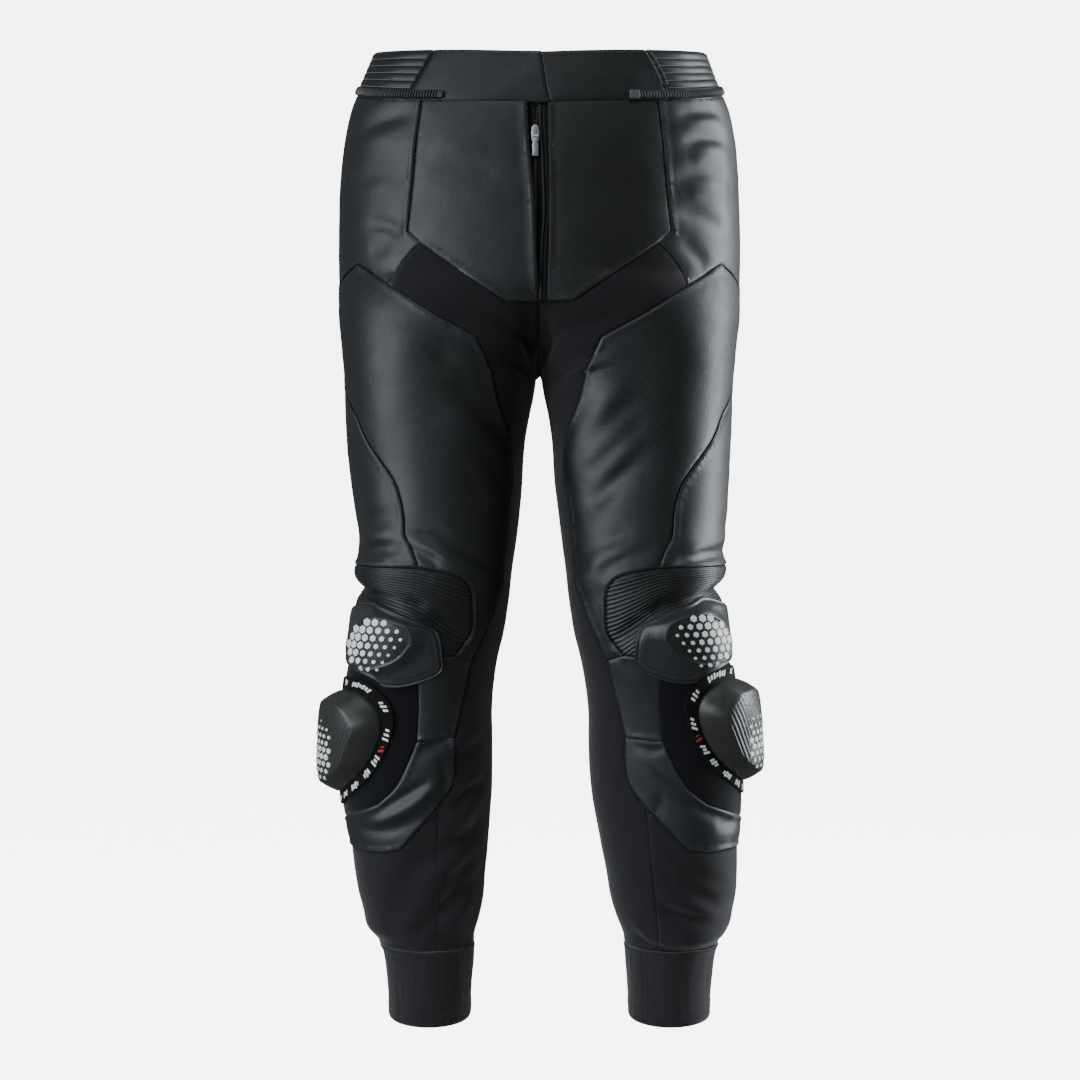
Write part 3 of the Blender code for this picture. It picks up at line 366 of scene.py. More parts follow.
CALF_SEAM_DEGREES = placed(Seen(110, -869))[0]
MIDDLE = 0.2  # degrees between the middle plane and the seams that lie on it
CROTCH_FRONT = Round(MIDDLE, -236)
ARCH_FRONT, ARCH_BACK = Round(MIDDLE, CROTCH_Z + 4), Round(-MIDDLE, CROTCH_Z + 4)
GUSSET_BACK = Round(-MIDDLE, GUSSET_BACK_Z)
FLY_WAIST_ANGLE = {RIGHT: 3.8, LEFT: 2.4}  # the fly stands open by this much at the waist

SEAMS = {
    "waist_yoke_right": waist_line(WAIST_SEAM_HEIGHTS, FLY_WAIST_ANGLE[RIGHT], YOKE_WAIST_ANGLE, 4),
    "waist_yoke_left": waist_line(WAIST_SEAM_HEIGHTS, FLY_WAIST_ANGLE[LEFT], YOKE_WAIST_ANGLE, 4),
    "fly_right": seam(
        on_waist(FLY_WAIST_ANGLE[RIGHT]), Seen(9.6, -75), Seen(5, -122), Seen(3, -172), CROTCH_FRONT
    ),
    "fly_left": seam(
        on_waist(FLY_WAIST_ANGLE[LEFT]), Seen(9.2, -75), Seen(10, -125), Seen(9.6, -175), Seen(8.5, -226.3)
    ),
    "waist_side": waist_line(WAIST_SEAM_HEIGHTS, YOKE_WAIST_ANGLE, SIDE_BACK_ANGLE, 6),
    "waist_back": waist_line(WAIST_SEAM_HEIGHTS, SIDE_BACK_ANGLE, 180, 5),
    "yoke_side": seam(on_waist(YOKE_WAIST_ANGLE), Seen(124, -65), Seen(131, -140), Seen(133.5, -156)),
    "yoke_slant_outer": seam(Seen(133.5, -156), Seen(119, -168)),
    "yoke_slant_inner": seam(Seen(119, -168), Seen(78, -196.5), Seen(34, -226)),
    "yoke_foot": seam(Seen(34, -226), CROTCH_FRONT),
    "yoke_foot_left": seam(Seen(34, -226), Seen(8.5, -226.3)),
    "gusset_curve": seam(Seen(119, -168), Seen(129, -178), Seen(139, -191), Seen(146, -204), Seen(148, -211)),
    "thigh_top_outer": seam(Seen(183, -189), Seen(148, -211)),
    "thigh_top_inner": seam(Seen(148, -211), Seen(112, -235), Seen(63, -262)),
    "thigh_inner": seam(
        Seen(63, -262), Seen(50, -290), Seen(40, -325), Seen(29, -353), Seen(26, -373), Seen(26, -400),
        Seen(30, -430), Seen(34, -473), Seen(38, -502), Seen(46, -535), Seen(58, -565), Seen(68, -586),
    ),
    "thigh_outer": seam(
        Seen(183, -189), Round(168, -222), Round(176, -262), Round(173, -303), Seen(184, -340), Seen(173, -367),
        Seen(148, -402), Seen(140, -420), Seen(136, -440), Seen(134, -461), Seen(127, -474), Seen(120, -493),
    ),
    "knee_top_outer": seam(Seen(120, -493), Round(SIDE_BACK_LEG, -487)),
    "knee_inner": seam(
        Seen(120, -493), Seen(86, -500), Seen(73, -508), Seen(67, -520), Seen(66, -539), Seen(67, -557),
        Seen(74, -570), Seen(84, -581),
    ),
    "thigh_foot": seam(Seen(84, -581), Seen(68, -586)),
    "knee_foot_inner": seam(Seen(84, -581), Seen(123, -585)),
    "knee_foot_outer": seam(Seen(123, -585), Round(SIDE_BACK_LEG, -587)),
    "patch_inner": seam(Seen(123, -585), Seen(121, -625), Seen(123, -667)),
    "shin_join": seam(Seen(85, -663), Seen(123, -667)),
    "patch_foot": seam(
        Seen(123, -667), Seen(133, -690), Seen(146, -713), Seen(165, -730), Round(165, -739),
        Round(SIDE_BACK_LEG, -742),
    ),
    "inner_shin": seam(Seen(68, -586), Seen(74, -615), Seen(80, -640), Seen(85, -663)),
    "shin_point": seam(Seen(85, -663), Seen(84, -685), Seen(88, -710), Seen(104, -733)),
    "shin_foot_slant": seam(Seen(104, -733), Seen(144, -775)),
    "shin_foot": seam(Seen(144, -775), Seen(160, -778), Round(165, -770), Round(SIDE_BACK_LEG, -764)),
    "calf_inner": seam(Seen(104, -733), Seen(107, -800), cuff_seam_at(CALF_SEAM_DEGREES)),
    "side_back_thigh": seam(
        on_waist(SIDE_BACK_ANGLE), Round(222, -200), Round(212, -330), Round(SIDE_BACK_LEG, -487)
    ),
    "side_back_knee": seam(Round(SIDE_BACK_LEG, -487), Round(SIDE_BACK_LEG, -587)),
    "side_back_end": seam(Round(SIDE_BACK_LEG, -587), Round(SIDE_BACK_LEG, BACK_LEATHER_END_Z)),
    "side_back_patch": seam(Round(SIDE_BACK_LEG, BACK_LEATHER_END_Z), Round(SIDE_BACK_LEG, -742)),
    "side_back_shin": seam(Round(SIDE_BACK_LEG, -742), Round(SIDE_BACK_LEG, -764)),
    "side_back_calf": seam(Round(SIDE_BACK_LEG, -764), cuff_seam_at(SIDE_BACK_LEG)),
    "centre_front": seam(CROTCH_FRONT, ARCH_FRONT),
    "crotch_point": seam(ARCH_FRONT, ARCH_BACK),
    "gusset_back": seam(ARCH_BACK, GUSSET_BACK),
    "inner_back": seam(
        GUSSET_BACK, Round(-22, -290), Round(-40, -340), Round(INNER_BACK_LEG, -400),
        Round(INNER_BACK_LEG, BACK_LEATHER_END_Z),
    ),
    "inner_back_calf": seam(Round(INNER_BACK_LEG, BACK_LEATHER_END_Z), cuff_seam_at(INNER_BACK_LEG)),
    "back_foot": seam(Round(SIDE_BACK_LEG, BACK_LEATHER_END_Z), Round(360 + INNER_BACK_LEG, BACK_LEATHER_END_Z)),
    "centre_back": seam(on_waist(180), Round(360, GUSSET_BACK_Z)),
    "cuff_seam_inner": ring(CUFF_SEAM_Z, CUFF_SEAM_TILT, INNER_BACK_LEG, CALF_SEAM_DEGREES, 5),
    "cuff_seam_front": ring(CUFF_SEAM_Z, CUFF_SEAM_TILT, CALF_SEAM_DEGREES, SIDE_BACK_LEG, 5),
    "cuff_seam_back": ring(CUFF_SEAM_Z, CUFF_SEAM_TILT, SIDE_BACK_LEG, 360 + INNER_BACK_LEG, 5),
}
for behind in ("inner_back", "inner_back_calf"):  # the same seams, reached the other way round the leg
    SEAMS[behind + "_behind"] = SEAMS[behind] + np.array([360.0, 0.0])

EDGES = {
    "yoke_front_right": (
        "waist_yoke_right", "yoke_side", "yoke_slant_outer", "yoke_slant_inner", "yoke_foot", "fly_right",
    ),
    "yoke_front_left": (
        "waist_yoke_left", "yoke_side", "yoke_slant_outer", "yoke_slant_inner", "yoke_foot_left", "fly_left",
    ),
    "outer_side": (
        "waist_side", "side_back_thigh", "knee_top_outer", "thigh_outer", "thigh_top_outer", "gusset_curve",
        "yoke_slant_outer", "yoke_side",
    ),
    "thigh_front": (
        "thigh_top_outer", "thigh_top_inner", "thigh_inner", "thigh_foot", "knee_inner", "thigh_outer",
    ),
    "inner_stretch": (
        "yoke_foot", "yoke_slant_inner", "gusset_curve", "thigh_top_inner", "thigh_inner", "inner_shin",
        "shin_point", "calf_inner", "cuff_seam_inner", "inner_back_calf", "inner_back", "gusset_back",
        "crotch_point", "centre_front",
    ),
    "knee_stretch": ("knee_top_outer", "knee_inner", "knee_foot_inner", "knee_foot_outer", "side_back_knee"),
    "slider_patch": ("knee_foot_outer", "patch_inner", "patch_foot", "side_back_patch", "side_back_end"),
    "shin_upper": ("thigh_foot", "knee_foot_inner", "patch_inner", "shin_join", "inner_shin"),
    "shin_lower": ("shin_join", "patch_foot", "side_back_shin", "shin_foot", "shin_foot_slant", "shin_point"),
    "calf_front": ("shin_foot_slant", "shin_foot", "side_back_calf", "cuff_seam_front", "calf_inner"),
    "seat_and_thigh_back": (
        "waist_back", "centre_back", "inner_back_behind", "back_foot", "side_back_end", "side_back_knee",
        "side_back_thigh",
    ),
    "calf_back": (
        "back_foot", "inner_back_calf_behind", "cuff_seam_back", "side_back_calf", "side_back_shin",
        "side_back_patch",
    ),
}
PANELS = {name: outline(*(SEAMS[edge] for edge in edges)) for name, edges in EDGES.items()}
print("seams:", len(SEAMS), "panels:", len(PANELS))

# %% [markdown]
# ## Cutting a panel
#
# A maker cuts each panel flat and then bends it. The same works here: the outline becomes one flat face, a few
# narrow rings are inset along its edge, where the hide will roll under, and straight cuts divide the middle
# into small squares. Only then is the flat piece laid on the form. `bisect_plane` cuts a face of any outline
# cleanly, so even a panel with hollow curves needs no special care.

# %% Cut a flat pattern piece
RIM_WIDTHS = (0.5, 0.7, 1.0, 1.5)
CORNER_REACH, CORNER_LIMIT = 2.0, 2.2  # in rim widths: a corner that is thrown past the limit goes back to the reach
CUT_SLACK, MERGE_WITHIN = 0.02, 0.12  # millimetres


def lines_between(low, high, step):
    return np.arange(math.floor(low / step) + 1, math.ceil(high / step)) * step


def tame_corners(middle, ring, width):
    """An even inset throws a sharp corner far out. Each such corner is drawn back towards its start."""
    inner = set(middle.verts)
    for v in inner:
        for edge in v.link_edges:
            start = edge.other_vert(v)
            if start in ring and start not in inner:
                way = v.co - start.co
                if way.length > CORNER_LIMIT * width:
                    v.co = start.co + way * (CORNER_REACH * width / way.length)


def cut_flat(corners, columns, rows):
    """A bmesh in the flat: one outline, ringed along its edge and cut along columns and rows."""
    bm = bmesh.new()
    middle = bm.faces.new([bm.verts.new((x, y, 0.0)) for x, y in corners])
    middle.normal_update()
    if middle.normal.z < 0:
        middle.normal_flip()
    for width in RIM_WIDTHS:
        middle = max(bm.faces, key=lambda f: f.calc_area())
        ring = bmesh.ops.inset_region(
            bm, faces=[middle], thickness=width, use_even_offset=True, use_boundary=True,
        )["faces"]
        tame_corners(middle, {v for face in ring for v in face.verts}, width)
    cuts = [((x, 0, 0), (1, 0, 0)) for x in columns] + [((0, y, 0), (0, 1, 0)) for y in rows]
    for place, across in cuts:
        everything = bm.verts[:] + bm.edges[:] + bm.faces[:]
        bmesh.ops.bisect_plane(bm, geom=everything, dist=CUT_SLACK, plane_co=place, plane_no=across)
    bmesh.ops.remove_doubles(bm, verts=bm.verts, dist=MERGE_WITHIN)
    crowded = [f for f in bm.faces if len(f.verts) > 4]
    bmesh.ops.triangulate(bm, faces=crowded, quad_method="BEAUTY", ngon_method="BEAUTY")
    return bm


def flat_points(bm):
    return np.array([v.co[:2] for v in bm.verts])


def cut_panel(name, step):
    """A panel of leather or cloth in the flat, x in pattern millimetres and y the height."""
    places = PANELS[name]
    low, high = places.min(axis=0), places.max(axis=0)
    columns = lines_between(low[0] * PATTERN_SCALE, high[0] * PATTERN_SCALE, step)
    corners = [(degrees * PATTERN_SCALE, z) for degrees, z in places]
    return cut_flat(corners, columns, lines_between(low[1], high[1], step))


test_cut = cut_panel("yoke_front_left", 4.0)
print("faces in one yoke:", len(test_cut.faces))
test_cut.free()

# %% [markdown]
# ## How a seam changes the cloth
#
# Near a seam the hide does three things. It rolls down over its own thickness, so each seam shows as a narrow
# groove. Where it laps over its neighbour it stands up by one more thickness. And the thread gathers it a
# little, which leaves short puckers at right angles to the seam. All three depend on how far a place is from
# the seam and how far along it, so every panel keeps a search tree over its own seams.

# %% Distance from a panel's seams
LAPS = {  # the seams at which a panel lies on top of its neighbour
    "outer_side": ("yoke_side", "thigh_outer", "knee_top_outer"),
    "yoke_front_right": ("yoke_foot", "yoke_slant_inner", "fly_right"),
    "yoke_front_left": ("yoke_foot_left", "yoke_slant_inner", "fly_left"),
    "thigh_front": ("thigh_top_outer", "thigh_top_inner", "thigh_inner", "knee_inner"),
    "shin_upper": ("inner_shin", "shin_join", "knee_foot_inner"),
    "shin_lower": ("shin_point", "shin_foot_slant", "shin_foot", "patch_foot"),
    "seat_and_thigh_back": ("side_back_thigh", "inner_back_behind", "back_foot", "side_back_knee"),
    "calf_front": ("cuff_seam_front",),
    "calf_back": ("cuff_seam_back",),
    "inner_stretch": ("cuff_seam_inner",),
}
EDGE_ROLL, ROLL_WIDTH = 1.0, 1.3
LAP_RISE, LAP_WIDTH, LAP_SLOPE = 0.9, 4.2, 1.2
COVERED_DIP, COVERED_WIDTH = 0.3, 3.0  # where a neighbour lies on top
STITCH_INSET, STITCH_DEPTH, TROUGH_WIDTH = 2.4, 0.22, 0.6
SWELL_REACH, SWELL_START = 14.0, 0.4
UNEVEN_SIZE, WRINKLE_SIZE, CALM_REACH = 62.0, 17.0, 6.0
PUCKER_PITCH, PUCKER_LENGTH = 6.5, 30.0
PUCKER_FROM, PUCKER_WIDTH, PUCKER_START = 2.0, 7.0, 1.5
CUT_COLUMNS, CUT_ROWS = 64, 32  # of the grid that rolls a piece out flat
APART = 50.0  # millimetres between the counts of two seams


def bare_place(side, degrees, z):
    """Points of the form without its creases, in millimetres."""
    degrees, z = np.asarray(degrees, float), np.asarray(z, float)
    points = bare_point(angle_of(degrees, z), z)
    points[..., 0] = side * points[..., 0] + through(LEAN_LEVELS, LEAN, z)
    return points


def rolled_out(bm, side, places, fullness=1.0):
    """Width, length and area in metres of a piece's cut, with the bare form under it rolled out flat.

    fullness is how much longer the cut is than the form, where the cloth is quilted or gathered.
    """
    (low_turn, low), (high_turn, high) = places.min(axis=0), places.max(axis=0)
    turns, heights = np.linspace(low_turn, high_turn, CUT_COLUMNS + 1), np.linspace(low, high, CUT_ROWS + 1)
    reach = np.array([reach_along(row) for row in bare_place(side, *np.meshgrid(turns, heights))])
    reach -= reach[:, CUT_COLUMNS // 2, None]
    column = np.interp(places[:, 0], turns, np.arange(CUT_COLUMNS + 1))
    row = np.interp(places[:, 1], heights, np.arange(CUT_ROWS + 1))
    left, below = np.minimum(column.astype(int), CUT_COLUMNS - 1), np.minimum(row.astype(int), CUT_ROWS - 1)
    share, rise = column - left, row - below
    lower, upper = (reach[k, left] * (1 - share) + reach[k, left + 1] * share for k in (below, below + 1))
    across = lower * (1 - rise) + upper * rise
    up = places[:, 1] * fullness
    bm.verts.index_update()
    area = 0.0
    for face in bm.faces:
        i = [v.index for v in face.verts]
        area += abs(np.dot(across[i], np.roll(up[i], 1)) - np.dot(up[i], np.roll(across[i], 1))) / 2
    return np.ptp(across) * MM, np.ptp(up) * MM, area * MM * MM


def declare(obj, size):
    """Prints the cut of a piece: its width, length and area in metres."""
    width, length, area = size
    print(f"{obj.name}: {width * 1e3:.0f} x {length * 1e3:.0f} mm, {area * 1e4:.0f} cm2")


def soft_step(low, high, at):
    share = np.clip((at - low) / (high - low), 0, 1)
    return share * share * (3 - 2 * share)


def read_at(rows, at):
    """Rows of a table at fractional indices."""
    knots = np.arange(len(rows))
    return np.stack([np.interp(at, knots, column) for column in rows.T], axis=-1)


class SeamFinder:
    """How far places are from a set of seams, and how far along them, both in millimetres."""

    def __init__(self, side, seams):
        self.side = side
        points, along = [], []
        start = 0.0
        for line in seams:
            places = read_at(line, np.linspace(0, len(line) - 1, max(int(len(line) * SEAM_STEP), 2)))
            run = bare_place(side, *places.T)
            steps = reach_along(run)
            points.extend(run)
            along.extend(start + steps)
            start += steps[-1] + APART
        self.tree = KDTree(max(len(points), 1))
        for i, point in enumerate(points):
            self.tree.insert(point, i)
        self.tree.balance()
        self.along = along

    def look(self, degrees, z):
        if not self.along:
            return np.full(np.shape(degrees), 1e3), np.zeros(np.shape(degrees))
        found = [self.tree.find(p) for p in bare_place(self.side, degrees, z)]
        return np.array([f[2] for f in found]), np.array([self.along[f[1]] for f in found])


def roughness_of(points, size, seed):
    """Smooth noise from -1 to 1 at points in millimetres, with features of about the given size."""
    shift = Vector((seed * 7.3, seed * 3.1, seed * 5.7))
    return np.array([noise.noise(Vector(p) / size + shift) for p in points])


# %% [markdown]
# ## How leather and cloth lie
#
# Leather keeps a slight swell between its seams and a slow unevenness, with a few shallow wrinkles. Stretch
# cloth is smoother and thinner. The numbers below are the whole difference between the kinds of cloth, apart
# from the ribs, which are rolls of padding stitched across the hide.

# %% Kinds of cloth
Kind = namedtuple("Kind", "wall swell unevenness wrinkle pucker")
KINDS = {
    "leather": Kind(1.4, 1.3, 0.9, 0.22, 0.38),
    "stretch": Kind(1.0, 0.7, 0.8, 0.12, 0.22),
    "pile": Kind(1.6, 0.6, 0.5, 0.10, 0.15),
    "ribbed": Kind(1.4, 0.5, 0.6, 0.10, 0.20),
}
CREASE_STEPS = 6  # pieces of line between two points of a crease


@cache
def crease_line(crease):
    """The crease's line in the flat."""
    places = np.array([placed(p) for p in crease.path]) * (PATTERN_SCALE, 1)
    knots = np.arange(len(places))
    at = np.linspace(0, len(places) - 1, CREASE_STEPS * (len(places) - 1) + 1)
    return np.stack([curve(knots, column, at) for column in places.T], axis=-1)


def crease_height(side, degrees, z):
    """The small creases of one side: curved lines with a width and a depth, like the large folds."""
    height = np.zeros(np.shape(degrees))
    place = np.stack([degrees * PATTERN_SCALE, z], axis=-1)
    for crease in CREASES + (CREASES_RIGHT if side == RIGHT else CREASES_LEFT):
        line, margin = crease_line(crease), 3 * crease.width
        near = ((place > line.min(axis=0) - margin) & (place < line.max(axis=0) + margin)).all(axis=-1)
        if not near.any():
            continue
        here = place[near]
        off = np.full(len(here), 1e9)
        share = np.zeros(len(here))
        for k in range(len(line) - 1):
            way = line[k + 1] - line[k]
            t = np.clip((here - line[k]) @ way / (way @ way), 0, 1)
            away = np.linalg.norm(here - line[k] - t[:, None] * way, axis=-1)
            closer = away < off
            off[closer], share[closer] = away[closer], (k + t[closer]) / (len(line) - 1)
        fade = np.sin(np.pi * np.clip(share, 0.02, 0.98)) ** 0.7
        height[near] -= crease.depth * bell(off / crease.width) * fade
    return height


class Cloth:
    """One panel of one side: knows how far each of its places is moved out from the form."""

    def __init__(self, side, name, kind, relief=None):
        edges = EDGES[name]
        laps = [e for e in LAPS.get(name, ()) if e in edges]
        under = [e for e in edges if any(e in LAPS[other] for other in LAPS if other != name)]
        self.side, self.name, self.kind, self.relief = side, name, KINDS[kind], relief
        self.all_edges = SeamFinder(side, [SEAMS[e] for e in edges])
        self.laps = SeamFinder(side, [SEAMS[e] for e in laps])
        self.under = SeamFinder(side, [SEAMS[e] for e in under])
        self.seed = 1.0 + sum(map(ord, name)) % 17 + (3 if side == LEFT else 0)

    def lift(self, degrees, z):
        kind = self.kind
        distance, along = self.all_edges.look(degrees, z)
        lapped, _ = self.laps.look(degrees, z)
        covered, _ = self.under.look(degrees, z)
        points = bare_place(self.side, degrees, z)
        lift = -EDGE_ROLL * bell(distance / ROLL_WIDTH)
        lift += LAP_RISE * (1 - soft_step(LAP_WIDTH - LAP_SLOPE, LAP_WIDTH + LAP_SLOPE, lapped))
        lift -= COVERED_DIP * bell(covered / COVERED_WIDTH)
        lift -= STITCH_DEPTH * bell((lapped - STITCH_INSET) / TROUGH_WIDTH)
        lift += kind.swell * (1 - np.exp(-distance / SWELL_REACH)) - SWELL_START
        fade = 1 - np.exp(-distance / CALM_REACH)
        lift += kind.unevenness * roughness_of(points, UNEVEN_SIZE, self.seed) * fade
        lift += kind.wrinkle * roughness_of(points * (1, 1, 1.7), WRINKLE_SIZE, self.seed + 3) * fade
        gathers = np.array([
            noise.noise(Vector((a / PUCKER_PITCH, self.seed * 4.0, d / PUCKER_LENGTH)))
            for a, d in zip(along, distance)
        ])
        fade = bell((distance - PUCKER_FROM) / PUCKER_WIDTH) * (1 - np.exp(-distance / PUCKER_START))
        lift += kind.pucker * gathers * fade
        lift += crease_height(self.side, degrees, z)
        if self.relief is not None:
            lift += self.relief(self.side, degrees, z)
        return lift


# %% Lay a flat piece on the form
def place_pattern(bm):
    """Keeps the flat pattern's coordinates, in metres, as a UV map."""
    layer = bm.loops.layers.uv.new("pattern")
    for face in bm.faces:
        for loop in face.loops:
            loop[layer].uv = loop.vert.co.xy * MM


def moved_to(bm, points):
    for v, point in zip(bm.verts, points):
        v.co = point


def laid(bm, side, places, lift):
    """Moves a flat bmesh onto the form. places are (degrees, z) for each vertex, lift is in millimetres."""
    place_pattern(bm)
    if side == RIGHT:
        bmesh.ops.reverse_faces(bm, faces=bm.faces)
    moved_to(bm, on_form(side, places[:, 0], places[:, 1], lift))


def linked(name, mesh, material, body, replaces):
    """An object in the scene that moves with a body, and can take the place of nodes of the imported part."""
    mesh.shade_smooth()
    mesh.materials.append(material)
    obj = bpy.data.objects.new(name, mesh)
    bpy.context.scene.collection.objects.link(obj)
    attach(obj, body)
    if replaces:
        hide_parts(*replaces)
    return obj


def finished(name, bm, material, wall=None, body="trousers", replaces=()):
    """A piece from a bmesh, smooth, with a wall of the given thickness inside its face."""
    mesh = bpy.data.meshes.new(name)
    bm.to_mesh(mesh)
    bm.free()
    obj = linked(name, mesh, material, body, replaces)
    if wall:
        solid = obj.modifiers.new("wall", "SOLIDIFY")
        solid.thickness, solid.offset = wall * MM, -1.0
    return obj


# %% [markdown]
# ## Finishes
#
# Leather, woven cloth, pile, moulded plastic, metal and thread differ mostly in how they scatter light, and a
# little in fine relief. Each is one Principled shader with a few texture nodes. Node trees read badly in code,
# so a small class lets a socket be used in ordinary sums, and one method adds any other node.

# %% Write shader maths as sums
class Wire:
    """A shader output that can be used in sums. Each sum adds a Math node."""

    def __init__(self, finish, socket):
        self.finish, self.socket = finish, socket

    def math(self, operation, *values):
        return self.finish.node("ShaderNodeMath", dict(operation=operation), dict(enumerate(values)))

    def __add__(self, other):
        return self.math("ADD", self, other)

    def __sub__(self, other):
        return self.math("SUBTRACT", self, other)

    def __mul__(self, other):
        return self.math("MULTIPLY", self, other)

    __radd__, __rmul__ = __add__, __mul__


class Finish:
    """A material with one Principled shader. Constants go straight to the shader's sockets."""

    def __init__(self, name, colour, roughness, **constants):
        self.material = bpy.data.materials.new(name)
        self.material.use_nodes = True
        self.tree = self.material.node_tree
        self.shader = self.tree.nodes["Principled BSDF"]
        self.set("Base Color", (*colour, 1.0))
        self.set("Roughness", roughness)
        for socket, value in constants.items():
            self.set(socket.replace("_", " "), value)
        self.material.diffuse_color = (*colour, 1.0)

    def set(self, socket, value):
        self.plug(self.shader.inputs[socket], value)

    def plug(self, socket, value):
        if isinstance(value, Wire):
            self.tree.links.new(value.socket, socket)
        else:
            socket.default_value = value

    def node(self, kind, settings=None, sockets=None, output=0):
        node = self.tree.nodes.new(kind)
        for key, value in (settings or {}).items():
            setattr(node, key, value)
        for key, value in (sockets or {}).items():
            self.plug(node.inputs[key], value)
        return Wire(self, node.outputs[output])

    def place(self, scale=(1, 1, 1), of="Object"):
        """Coordinates in metres, in the object's frame or on the flat pattern, stretched by scale."""
        wire = self.node("ShaderNodeTexCoord", output={"Object": 3, "UV": 2}[of])
        return self.node("ShaderNodeMapping", None, {"Vector": wire, "Scale": scale})

    def noise(self, scale, detail=2.0, place=None, rough=0.5):
        where = place or self.place()
        sockets = {"Vector": where, "Scale": scale, "Detail": detail, "Roughness": rough}
        return self.node("ShaderNodeTexNoise", None, sockets)

    def mixed(self, factor, first, second):
        """A colour between two colours."""
        sockets = {0: factor, 6: (*first, 1.0), 7: (*second, 1.0)}
        return self.node("ShaderNodeMix", dict(data_type="RGBA"), sockets, output=2)

    def relief(self, height, depth, strength=1.0):
        """Fine relief, its depth in millimetres."""
        sockets = {"Height": height, "Distance": depth * MM, "Strength": strength}
        self.set("Normal", self.node("ShaderNodeBump", None, sockets))


def shade(colour, factor):
    return tuple(c * factor for c in colour)


# %% [markdown]
# ## Leather
#
# Nappa for riding is dyed through and lightly coated: nearly black, with a satin shine that spreads light into
# broad soft bands, and a fine pebbled grain of about a millimetre. Along the seams it is a little lighter and a
# little smoother. Each panel carries an attribute that says how near a seam it is, and another marks painted
# shade: where it is set, the leather is darker and a little rougher.

# %% Leather
def leather(name, colour, roughness):
    f = Finish(name, colour, roughness, Specular_IOR_Level=0.5)
    near_seam = f.node("ShaderNodeAttribute", dict(attribute_name="near_seam"), output=2)
    # painted shade: where this attribute is set, the leather is painted darker and made a little rougher
    painted_shade = f.node("ShaderNodeAttribute", dict(attribute_name="painted_shade"), output=2)
    broad = f.noise(9.0, 3.0)
    # the colour: random tone, a little lighter along the seams, and darker where shade is painted
    tone_and_painted_shade = near_seam * 0.35 + broad * 0.65 - painted_shade * 0.9
    f.set("Base Color", f.mixed(tone_and_painted_shade, shade(colour, 0.7), shade(colour, 1.3)))
    f.set("Roughness", f.noise(45.0, 3.0) * 0.16 + broad * 0.06 - near_seam * 0.03 + painted_shade * 0.1 + (roughness - 0.1))
    pebbles = f.node(
        "ShaderNodeTexVoronoi", dict(feature="SMOOTH_F1"),
        {"Vector": f.place(), "Scale": 780.0, "Smoothness": 0.35, "Randomness": 1.0},
    )
    pores = f.noise(2300.0, 2.0)
    hide = f.noise(150.0, 4.0, rough=0.6)
    f.relief(pebbles * -0.55 + pores * 0.25 + hide * 1.1, 0.16, 0.8)
    return f.material


LEATHER_COLOUR = (0.0130, 0.0146, 0.0160)
LEATHER = leather("satin leather", LEATHER_COLOUR, 0.48)
RIBBED_LEATHER = leather("ribbed leather", shade(LEATHER_COLOUR, 0.85), 0.44)
print("made:", LEATHER.name, RIBBED_LEATHER.name)

# %% [markdown]
# ## Stretch cloth, pile and tape
#
# The stretch cloth is a close twill with a matte, faintly violet black. Its yarns are 0.6 mm apart, so the
# weave is relief on the flat pattern's own coordinates and follows the cloth round the leg. The patch under the
# slider is a short dense pile, and the zip tapes have a closer weave of the same kind.

# %% Cloth
BANDS_PER_UNIT = 0.22  # what makes a wave texture's band as wide as the pitch


def woven(name, colour, roughness, pitch, depth, sheen):
    f = Finish(name, colour, roughness, Sheen_Weight=sheen, Sheen_Roughness=0.45, Specular_IOR_Level=0.25)

    def bands(direction, **sockets):
        settings = dict(wave_type="BANDS", bands_direction=direction)
        sockets = {"Vector": f.place(of="UV"), "Scale": BANDS_PER_UNIT / (pitch * MM)} | sockets
        return f.node("ShaderNodeTexWave", settings, sockets, output=1)

    yarns = bands("DIAGONAL", Distortion=0.35, **{"Detail Scale": 3.0})
    cross = bands("Y", Distortion=0.2)
    fuzz = f.noise(900.0, 3.0)
    tone = f.noise(14.0, 3.0) * 0.6 + yarns * 0.4
    f.set("Base Color", f.mixed(tone, shade(colour, 0.7), shade(colour, 1.35)))
    f.relief(yarns * 0.7 + cross * 0.3 + fuzz * 0.5, depth, 0.7)
    return f.material


def pile(name, colour):
    f = Finish(name, colour, 0.95, Sheen_Weight=0.35, Sheen_Roughness=0.35, Specular_IOR_Level=0.15)
    tufts = f.noise(1500.0, 3.0, rough=0.7)
    brushed = f.noise(60.0, 3.0)
    f.set("Base Color", f.mixed(tufts * 0.5 + brushed * 0.5, shade(colour, 0.5), shade(colour, 1.6)))
    f.relief(tufts + brushed * 0.6, 0.35, 0.9)
    return f.material


STRETCH = woven("stretch cloth", (0.0105, 0.0096, 0.0118), 0.88, 0.6, 0.12, 0.26)
CUFF_KNIT = woven("cuff cloth", (0.0130, 0.0122, 0.0142), 0.9, 0.7, 0.14, 0.28)
PILE = pile("pile cloth", (0.0062, 0.0066, 0.0085))
TAPE = woven("zip tape", (0.006, 0.006, 0.0065), 0.8, 0.5, 0.10, 0.1)
BASE_TAPE = woven("woven band", (0.0028, 0.0028, 0.0030), 0.9, 0.5, 0.10, 0.02)


# %% Plastic, metal and thread
def moulded(name, colour, roughness, grain=0.05):
    """Moulded plastic with the fine spark-eroded grain of its mould."""
    f = Finish(name, colour, roughness)
    broad = f.noise(25.0, 3.0)
    f.set("Base Color", f.mixed(broad, shade(colour, 0.85), shade(colour, 1.15)))
    f.set("Roughness", broad * 0.12 + (roughness - 0.06))
    f.relief(f.noise(1800.0, 2.0), grain)
    return f.material


def metal(name, colour, roughness):
    f = Finish(name, colour, roughness, Metallic=1.0)
    scratches = f.noise(700.0, 3.0, f.place((1, 1, 0.15)))
    f.set("Roughness", scratches * 0.2 + (roughness - 0.1))
    f.relief(scratches, 0.02)
    return f.material


